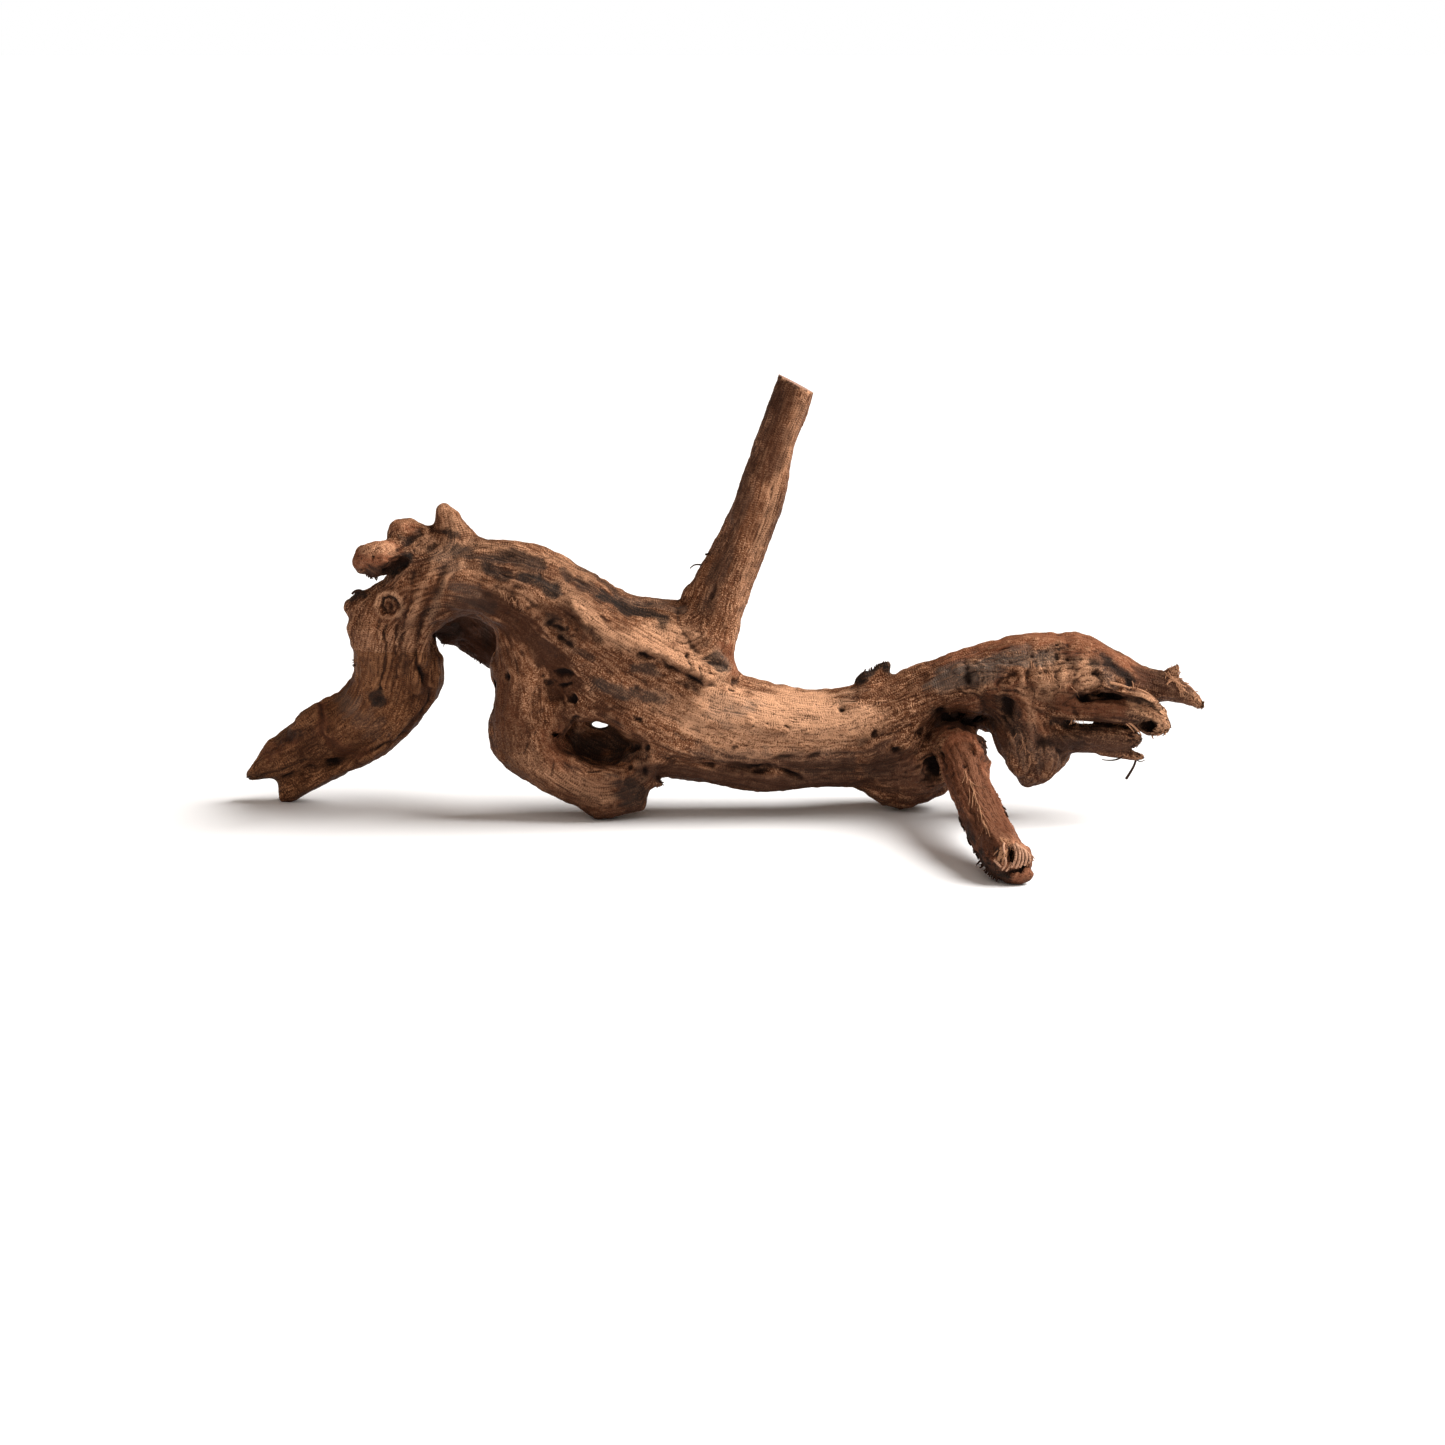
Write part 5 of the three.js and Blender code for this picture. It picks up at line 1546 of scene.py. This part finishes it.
PALE_FRINGES = dict(
    foot_left=([(1000, 847), (1008, 850)], 12, (-0.1, 1), 17, 0.9, True),
    foot_right=([(1012, 849), (1026, 851)], 22, (0.25, 1), 15, 0.8, True),
    foot_top=([(998, 838), (1010, 842)], 10, (0.9, 0.6), 9, 0.7, True),
    prong_knot=([(1164, 672), (1176, 680), (1182, 690)], 40, (0.5, 0.7), 8, 0.8, True),
    prong_curls=([(1166, 684), (1176, 674), (1186, 684)], 16, (0.8, -0.3), 6, 0.8, True),
    prong_tip=([(1195, 690), (1201, 702)], 12, (0.5, 0.9), 5, 0.8, False),
    prong_stub=([(1173, 668), (1179, 671)], 8, (0.1, -1), 5, 0.8, False),
    middle_prong=([(1140, 704), (1156, 712), (1164, 722)], 20, (0.7, 0.7), 9, 0.7, True),
    middle_prong_end=([(1152, 737), (1166, 731)], 10, (0.3, 0.8), 3, 0.8, False),
    shelf=([(672, 640), (700, 656), (712, 672)], 16, (0.8, 0.5), 8, 0.5, True),
    fleece=([(498, 588), (514, 600), (528, 606)], 22, (0.3, 1), 8, 0.4, True),
    fleece_right=([(520, 586), (536, 592), (552, 600)], 14, (0.6, 0.8), 7, 0.4, True),
    loop_curls=([(532, 736), (528, 750), (536, 764)], 12, (0.3, 1), 8, 0.45, True),
    trunk_hairs=([(800, 740), (860, 724), (900, 706)], 18, (0.7, 0.7), 7, 0.4, True),
    see_through=([(1070, 719), (1078, 719), (1087, 719)], 9, (0.1, 1), 6, 0.6, False),
    front_leg=([(964, 764), (974, 796), (986, 826)], 20, (0.35, 1), 20, 0.55, True),
    crown_hairs=([(1030, 660), (1052, 676), (1078, 690)], 26, (0.1, 1), 9, 0.5, True),
    jaw_hairs=([(1012, 720), (1024, 744), (1032, 764)], 14, (0.1, 1), 10, 0.45, True),
)


FRINGE_SUNK = -0.5
LYING_LIFTS = (-0.2, 0.1, 0.25, 0.3, 0.5)
LAST_PLACE = STRAND_PLACES - 1


def fringe(rows):
    """Strands at random places along each row of pixels, bent a little."""
    made = []
    for line, count, way, length, thick, lying in rows.values():
        line = five_along(line)
        way = unit(np.array(way))
        for share in chance.uniform(0, LAST_PLACE, count):
            whole = int(share)
            root = line[whole] + (share - whole) * (line[min(whole + 1, LAST_PLACE)] - line[whole])
            root += chance.normal(0, 0.8, 2)
            lean = chance.normal(0, 0.35)
            bend = chance.normal(0, 0.3)
            pixels = [root]
            for step in range(LAST_PLACE):
                turn = lean + bend * step / 3
                c, s = math.cos(turn), math.sin(turn)
                turned = np.array([c * way[0] - s * way[1], s * way[0] + c * way[1]])
                pixels.append(pixels[-1] + turned * length * chance.uniform(0.6, 1.2) / LAST_PLACE)
            if lying:
                spots = [on_skin(u, v, lift) for (u, v), lift in zip(pixels, LYING_LIFTS)]
            else:
                first = on_skin(*pixels[0], FRINGE_SUNK)
                spots = [first] + [off_photo(u, v, first[1]) for u, v in pixels[1:]]
            made.append(strand(spots, thick * chance.uniform(0.6, 1.2)))
    return made


dark_bits += fringe(DARK_FRINGES)
pale_bits += fringe(PALE_FRINGES)
print("fringes:", len(dark_bits) + len(pale_bits), "strands")


def bundle(strands, name, **shares):
    """Joins strands into one piece and gives it the same tints all over."""
    choose(*strands)
    bpy.ops.object.join()
    piece = bpy.context.object
    piece.name = name
    for label, share in shares.items():
        keep_on(piece, label, np.full(len(piece.data.vertices), share))
    return piece


# The pale fibres and the fan carry wear with painted highlights; the bark shreds carry stain with painted
# shade.
bark_shreds = bundle(dark_bits, "bark_shreds", streak=0.3, patch=0.3, valley=0.5, dell=0.5, stain=0.55)
torn_fibres = bundle(pale_bits, "torn_fibres", streak=0.6, patch=0.6, valley=0.4, dell=0.5, worn=0.8)
foot_fan = bundle(fan_bits, "foot_fan", streak=0.8, patch=0.8, valley=0.4, dell=0.5, worn=1.6, sawn=0.5)
print("strands:", len(bark_shreds.data.polygons), "dark and", len(torn_fibres.data.polygons), "pale faces")

# %% [markdown]
# ## Part the skin at the forks
# Each piece of the part gets its own closed skin. A bisect draws the parting line at every fork, on the
# faces round it alone, and the faces then belong to the piece on their side of the plane.

# %% Draw the parting lines
# Drawn place and normal of the plane, reach in its own two directions, and the pieces before and behind it.
FORKS = [
    ((-138, 12, 70), (0, 0.05, 1), (24, 26), "left_leg", "shoulder"),
    ((-97.5, 4, 99), (1, 0, -0.1), (23, 32), "shoulder", "middle_stem"),
    ((-61.5, 8, 42.8), (0.574, 0, 0.819), (51, 38), "root_loop", "middle_stem"),
    ((-5.5, 4, 78), (0.774, 0, 0.632), (23, 24), "middle_stem", "upright_branch"),
    ((89.8, 3, 55.5), (0.97, 0, 0.24), (16, 24), "middle_stem", "crown"),
    ((99.4, -16, 28.8), (0, 1, -0.2), (14, 13), "front_leg", "middle_stem"),
    ((127, 1, 38.6), (0, 0, 1), (20.1, 24), "jaw", "crown"),
    ((147, -5, 32), (1, 0, 0), (10, 16), "jaw", "lower_prong"),
    ((152, -8, 47), (1, 0, 0), (5.8, 12), "crown", "middle_prong"),
    ((174.5, 2, 58), (1, 0, -0.1), (9, 10.7), "crown", "upper_prong"),
    ((-119, 25, 87), (0.5, 0.6, -0.7), (14, 14), "shoulder", "back_root"),
    ((-92, 30.5, 61.5), (0.8, -0.6, -0.3), (13, 13), "back_root", "root_loop"),
]
PARTING_BAND = 6.0
PARTING_SPARE = 1.5


def face_labels(mesh):
    """The number of the piece that each face belongs to."""
    label = np.empty(len(mesh.polygons), np.int32)
    mesh.attributes["piece"].data.foreach_get("value", label)
    return label


def faces_of_the_fork(place, normal, reach, before, behind):
    """Which faces of a fork's two pieces lie in its slab, and how far every face is in front of its plane."""
    normal = unit(np.array(normal, float))
    lead = np.array([0, 0, 1.0]) if abs(normal[1]) > 0.7 else np.array([0, 1.0, 0])
    deep = unit(lead - normal * (lead @ normal))
    offset = drawn(vectors(skin.data.polygons, "center")) - np.array(place, float)
    ahead = offset @ normal
    inside = np.abs(ahead) < PARTING_BAND
    inside &= np.abs(offset @ np.cross(normal, deep)) < reach[0] + PARTING_SPARE
    inside &= np.abs(offset @ deep) < reach[1] + PARTING_SPARE
    return inside & np.isin(face_labels(skin.data), [PIECES.index(before), PIECES.index(behind)]), ahead


choose(skin)
for place, normal, reach, before, behind in FORKS:
    ours, ahead = faces_of_the_fork(place, normal, reach, before, behind)
    for items in (skin.data.polygons, skin.data.edges, skin.data.vertices):
        items.foreach_set("select", np.zeros(len(items), bool))
    skin.data.polygons.foreach_set("select", ours)
    bpy.ops.object.mode_set(mode="EDIT")
    bpy.ops.mesh.select_mode(type="FACE")
    bpy.ops.mesh.bisect(plane_co=in_frame(place), plane_no=normal)
    bpy.ops.object.mode_set(mode="OBJECT")
    ours, ahead = faces_of_the_fork(place, normal, reach, before, behind)
    label = face_labels(skin.data)
    label[ours] = np.where(ahead[ours] > 0, PIECES.index(behind), PIECES.index(before))
    skin.data.attributes["piece"].data.foreach_set("value", label)
print("parted at", len(FORKS), "forks")

# %% Separate the pieces and close them
for name in PIECES:
    skin.data.materials.append(bpy.data.materials.new("part_" + name))
skin.data.polygons.foreach_set("material_index", face_labels(skin.data))
bpy.ops.object.mode_set(mode="EDIT")
bpy.ops.mesh.select_all(action="SELECT")
bpy.ops.mesh.separate(type="MATERIAL")
bpy.ops.object.mode_set(mode="OBJECT")
wood = {}
for part in list(bpy.context.selected_objects):
    label = face_labels(part.data)
    wood.setdefault(PIECES[np.bincount(label).argmax()], []).append(part)
print("separated:", {name: len(parts) for name, parts in wood.items()})

for name, parts in wood.items():
    part = parts[0]
    choose(part)
    part.name = name + "_wood"
    bpy.ops.object.mode_set(mode="EDIT")
    bpy.ops.mesh.select_mode(type="VERT")
    bpy.ops.mesh.select_all(action="DESELECT")
    bpy.ops.mesh.select_non_manifold()
    bpy.ops.mesh.fill_holes(sides=0)
    bpy.ops.mesh.select_all(action="SELECT")
    bpy.ops.mesh.normals_make_consistent(inside=False)
    bpy.ops.mesh.select_all(action="DESELECT")
    bpy.ops.mesh.select_non_manifold()
    bpy.ops.object.mode_set(mode="OBJECT")
    open_ends = sum(v.select for v in part.data.vertices)
    part.data.materials.clear()
    print(name, len(part.data.polygons), "faces,", open_ends, "vertices on open edges")

# %% [markdown]
# ## Wood finish
# All pieces are the same wood, so the materials share their working parts, as node groups. One group draws
# the fine fibres, which are thinner than the faces of the skin: it reads a speckle at seven places up and
# down the grain and averages them, as the carving did. The way of the grain is bent a little by a noise
# first, so that the fibres curl. Another group mixes the colour from the tints on the skin and the fibres.

# %% A group for the fine fibres
FIBRE_SAMPLES = 3
FIBRE_STEP = 1.0  # millimetres
BEND_WIDTH = 2.6


def new_group(name, inputs, outputs):
    """An empty shader node group with named sockets: (name, type, value) in, (name, type) out."""
    group = bpy.data.node_groups.new(name, "ShaderNodeTree")
    for label, kind, value in inputs:
        socket = group.interface.new_socket(label, in_out="INPUT", socket_type=kind)
        if value is not None:
            socket.default_value = value
    for label, kind in outputs:
        group.interface.new_socket(label, in_out="OUTPUT", socket_type=kind)
    return group, group.nodes.new("NodeGroupInput"), group.nodes.new("NodeGroupOutput")


def put(group, socket, value):
    """Fills a node's input with a socket, a number or a colour."""
    if isinstance(value, bpy.types.NodeSocket):
        group.links.new(value, socket)
    elif isinstance(value, tuple) and socket.type == "RGBA":
        socket.default_value = (*value, 1)
    else:
        socket.default_value = value


def sum_up(group, operation, *values, clamp=False):
    """A Math node. Each of its inputs is a socket or a number."""
    node = group.nodes.new("ShaderNodeMath")
    node.operation = operation
    node.use_clamp = clamp
    for socket, value in zip(node.inputs, values):
        put(group, socket, value)
    return node.outputs[0]


def reckon(group, operation, *values):
    """A Vector Math node, in the same way."""
    node = group.nodes.new("ShaderNodeVectorMath")
    node.operation = operation
    for socket, value in zip(node.inputs, values):
        put(group, socket, value)
    return node.outputs[0]


def noise(group, place, scale, detail):
    """A Noise Texture node that is read at a place."""
    node = group.nodes.new("ShaderNodeTexNoise")
    put(group, node.inputs["Vector"], place)
    put(group, node.inputs["Scale"], scale)
    put(group, node.inputs["Detail"], detail)
    return node


fibres, given, result = new_group(
    "Fine fibres",
    [("Place", "NodeSocketVector", None), ("Grain", "NodeSocketVector", None),
     ("Width mm", "NodeSocketFloat", 0.8), ("Curl", "NodeSocketFloat", 0.8)],
    [("Fibre", "NodeSocketFloat")],
)
place = given.outputs["Place"]
size = sum_up(fibres, "DIVIDE", 1 / MM, given.outputs["Width mm"])
bend = noise(fibres, place, 1 / (BEND_WIDTH * MM), 1.0).outputs["Color"]
bend = reckon(fibres, "SUBTRACT", bend, (0.5, 0.5, 0.5))
curled = reckon(fibres, "MULTIPLY_ADD", bend, given.outputs["Curl"], given.outputs["Grain"])
total = None
for sample in range(-FIBRE_SAMPLES, FIBRE_SAMPLES + 1):
    moved = reckon(fibres, "MULTIPLY_ADD", curled, (sample * FIBRE_STEP * MM,) * 3, place)
    level = noise(fibres, moved, size, 1.0).outputs[0]
    total = level if total is None else sum_up(fibres, "ADD", total, level)
mean = sum_up(fibres, "DIVIDE", total, 2 * FIBRE_SAMPLES + 1)
put(fibres, result.inputs["Fibre"], sum_up(fibres, "MULTIPLY_ADD", mean, 6.6, -2.8))
print("fibre group:", len(fibres.nodes), "nodes")

# %% A group for the colour of weathered wood
def read_tint(group, name):
    """A number that is kept on the skin."""
    node = group.nodes.new("ShaderNodeAttribute")
    node.attribute_name = name
    return node.outputs["Fac"]


def blend(group, share, under, over):
    """A colour over another, by a share from 0 to 1. Each is a socket or a colour."""
    node = group.nodes.new("ShaderNodeMix")
    node.data_type = "RGBA"
    node.clamp_factor = True
    for socket, value in ((node.inputs[0], share), (node.inputs[6], under), (node.inputs[7], over)):
        put(group, socket, value)
    return node.outputs[2]


def scaled(group, value, factor, add=0.0):
    """value times factor plus add, kept between 0 and 1."""
    return sum_up(group, "MULTIPLY_ADD", value, factor, add, clamp=True)


colours, given, result = new_group(
    "Weathered wood",
    [
        ("Fibre", "NodeSocketFloat", 0.5),
        ("Fuzz", "NodeSocketFloat", 0.5),
        ("Fleck", "NodeSocketFloat", 0.5),
        ("Deep", "NodeSocketColor", (0.038, 0.0125, 0.0055, 1)),
        ("Body", "NodeSocketColor", (0.16, 0.06, 0.026, 1)),
        ("Pale", "NodeSocketColor", (0.58, 0.31, 0.178, 1)),
        ("Rust", "NodeSocketColor", (0.225, 0.078, 0.038, 1)),
    ],
    [("Color", "NodeSocketColor")],
)
fibre, fuzz, fleck = (given.outputs[name] for name in ("Fibre", "Fuzz", "Fleck"))
deep, body, pale, rust = (given.outputs[name] for name in ("Deep", "Body", "Pale", "Rust"))
GREY = (0.11, 0.085, 0.07)
CREASE_SHADE = (0.03, 0.013, 0.008)
BLACK = (0.017, 0.012, 0.01)
INSIDE = (0.008, 0.004, 0.003)
SAWN_DARK = (0.16, 0.085, 0.06)
SAWN_PALE = (0.5, 0.31, 0.24)


def skin_tint(name, factor=1.0, add=0.0):
    """A tint of the skin times factor plus add, kept between 0 and 1."""
    return scaled(colours, read_tint(colours, name), factor, add)


def times(first, second):
    """Two shares multiplied."""
    return sum_up(colours, "MULTIPLY", first, second)


# How light the wood is, from the streaks and the fibres.
tone = sum_up(colours, "ADD", skin_tint("streak", 0.7), scaled(colours, fibre, 0.5))
tone = sum_up(colours, "ADD", tone, skin_tint("patch", 0.45))
tone = sum_up(colours, "ADD", tone, scaled(colours, fuzz, 0.5))
shade = blend(colours, scaled(colours, tone, 1.3, -0.8), deep, body)

# Then one thing after another lies over it.
grit = read_tint(colours, "grit")
dark_fleck = scaled(colours, fleck, -3.4, 1.25)
worn = times(read_tint(colours, "worn"), scaled(colours, fibre, 0.9, 0.15))
# Painted shade: creases and hollows are darkened by how sunk the skin is there.
crease_shade = sum_up(colours, "MAXIMUM", skin_tint("valley", 3.0, -1.8), skin_tint("dell", 2.0, -1.25))
layers = [
    (times(skin_tint("valley", -3.0, 1.45), 0.3), pale),
    (times(scaled(colours, fleck, 3.2, -1.8), times(skin_tint("patch", 0.9, 0.05), grit)), pale),
    (times(dark_fleck, scaled(colours, grit, 0.8)), deep),
    (times(read_tint(colours, "red"), scaled(colours, fibre, 0.7, 0.35)), rust),
    # Worn tan, partly a painted highlight.
    (times(worn, scaled(colours, dark_fleck, -0.7, 1.0)), pale),
    (times(times(read_tint(colours, "grey"), scaled(colours, fibre, -0.5, 1.0)), 0.8), GREY),
    # Painted shade, and darker patches at the back.
    (times(read_tint(colours, "painted_shade_and_dark_tone"), 0.7), deep),
    # Painted shade in creases and hollows.
    (times(crease_shade, 0.75), CREASE_SHADE),
    # Stains, and painted shade in hollows and under parts.
    (times(read_tint(colours, "stain"), scaled(colours, fibre, -0.4, 1.15)), BLACK),
    # Painted shade on surfaces that face down.
    (times(read_tint(colours, "under"), 0.75), deep),
    (read_tint(colours, "sawn"), blend(colours, fibre, SAWN_DARK, SAWN_PALE)),
    # Painted shade at the bottom of grooves, pits and cracks.
    (skin_tint("recess_shade", 1.5, -0.25), INSIDE),
]
for share, over in layers:
    shade = blend(colours, share, shade, over)
put(colours, result.inputs["Color"], shade)
print("colour group:", len(colours.nodes), "nodes")

# %% The six finishes of the record
def fibre_pattern(tree, place, width, curl):
    """The fine fibres as a pattern in a material, curled by the tint of that name."""
    node = tree.nodes.new("ShaderNodeGroup")
    node.node_tree = fibres
    way = tree.nodes.new("ShaderNodeAttribute")
    way.attribute_name = "grain"
    put(tree, node.inputs["Place"], place)
    put(tree, node.inputs["Grain"], way.outputs["Vector"])
    put(tree, node.inputs["Width mm"], width)
    put(tree, node.inputs["Curl"], sum_up(tree, "MULTIPLY", read_tint(tree, "curly"), curl))
    return node.outputs["Fibre"]


FIBRE_WIDTH = 0.85
FLECK_WIDTH = 0.75
FUZZ_WIDTH = 1.3
RELIEF = 0.26 * MM


def wood_finish(name, **tones):
    """A wood material: fibres, colour, roughness and fine relief."""
    finish = bpy.data.materials.new(name)
    finish.use_nodes = True
    tree = finish.node_tree
    shader = tree.nodes["Principled BSDF"]
    place = tree.nodes.new("ShaderNodeTexCoord").outputs["Object"]
    fine = fibre_pattern(tree, place, FIBRE_WIDTH, 1.5)
    fleck = fibre_pattern(tree, place, FLECK_WIDTH, 3.4)
    fuzz_node = noise(tree, place, 1 / (FUZZ_WIDTH * MM), 3.0)
    fuzz_node.inputs["Roughness"].default_value = 0.7
    fuzz = fuzz_node.outputs[0]
    paint = tree.nodes.new("ShaderNodeGroup")
    paint.node_tree = colours
    for label, value in dict(Fibre=fine, Fuzz=fuzz, Fleck=fleck, **tones).items():
        put(tree, paint.inputs[label], value)
    put(tree, shader.inputs["Base Color"], paint.outputs["Color"])
    rough = sum_up(tree, "MULTIPLY_ADD", fine, -0.16, 0.72, clamp=True)
    put(tree, shader.inputs["Roughness"], rough)
    shader.inputs["Specular IOR Level"].default_value = 0.06
    bump = tree.nodes.new("ShaderNodeBump")
    bump.inputs["Distance"].default_value = RELIEF
    bump.inputs["Strength"].default_value = 1.0
    rise = sum_up(tree, "MULTIPLY_ADD", fuzz, 0.9, fine)
    rise = sum_up(tree, "ADD", rise, sum_up(tree, "MULTIPLY", fleck, 0.9))
    put(tree, bump.inputs["Height"], sum_up(tree, "MULTIPLY", rise, read_tint(tree, "grit")))
    put(tree, shader.inputs["Normal"], bump.outputs["Normal"])
    return finish


FINISHES = {
    "weathered_root": ["shoulder", "middle_stem", "root_loop", "crown", "jaw"],
    "grey_brown_root": ["left_leg"],
    "dark_root": ["back_root"],
    "branch_wood": ["upright_branch"],
    "red_brown_root": ["front_leg"],
    "torn_wood": ["upper_prong", "middle_prong", "lower_prong"],
}
FINE_PIECES = {"dark_root": [bark_shreds], "torn_wood": [torn_fibres, foot_fan]}
TONES = {
    # Painted shade: the back root lies behind the arch, so its wood is darkened; the bark shreds share it.
    "dark_root": dict(Body=(0.045, 0.017, 0.009), Pale=(0.12, 0.06, 0.034)),
    "grey_brown_root": dict(Body=(0.14, 0.053, 0.021), Pale=(0.37, 0.175, 0.085)),
    "red_brown_root": dict(Body=(0.19, 0.058, 0.026), Pale=(0.5, 0.235, 0.135)),
    "torn_wood": dict(Body=(0.14, 0.055, 0.026)),
}
for slot, nodes in FINISHES.items():
    finish = wood_finish(slot, **TONES.get(slot, {}))
    for name in nodes:
        part = wood[name][0]
        part.data.materials.append(finish)
        part.data.polygons.foreach_set("material_index", np.zeros(len(part.data.polygons), np.int32))
        choose(part)
        bpy.ops.object.shade_smooth_by_angle(angle=math.radians(75))
        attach(part, "root")
        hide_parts(name)
    for piece in FINE_PIECES.get(slot, []):
        piece.data.materials.clear()
        piece.data.materials.append(finish)
        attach(piece, "root")
print("finishes:", list(FINISHES))
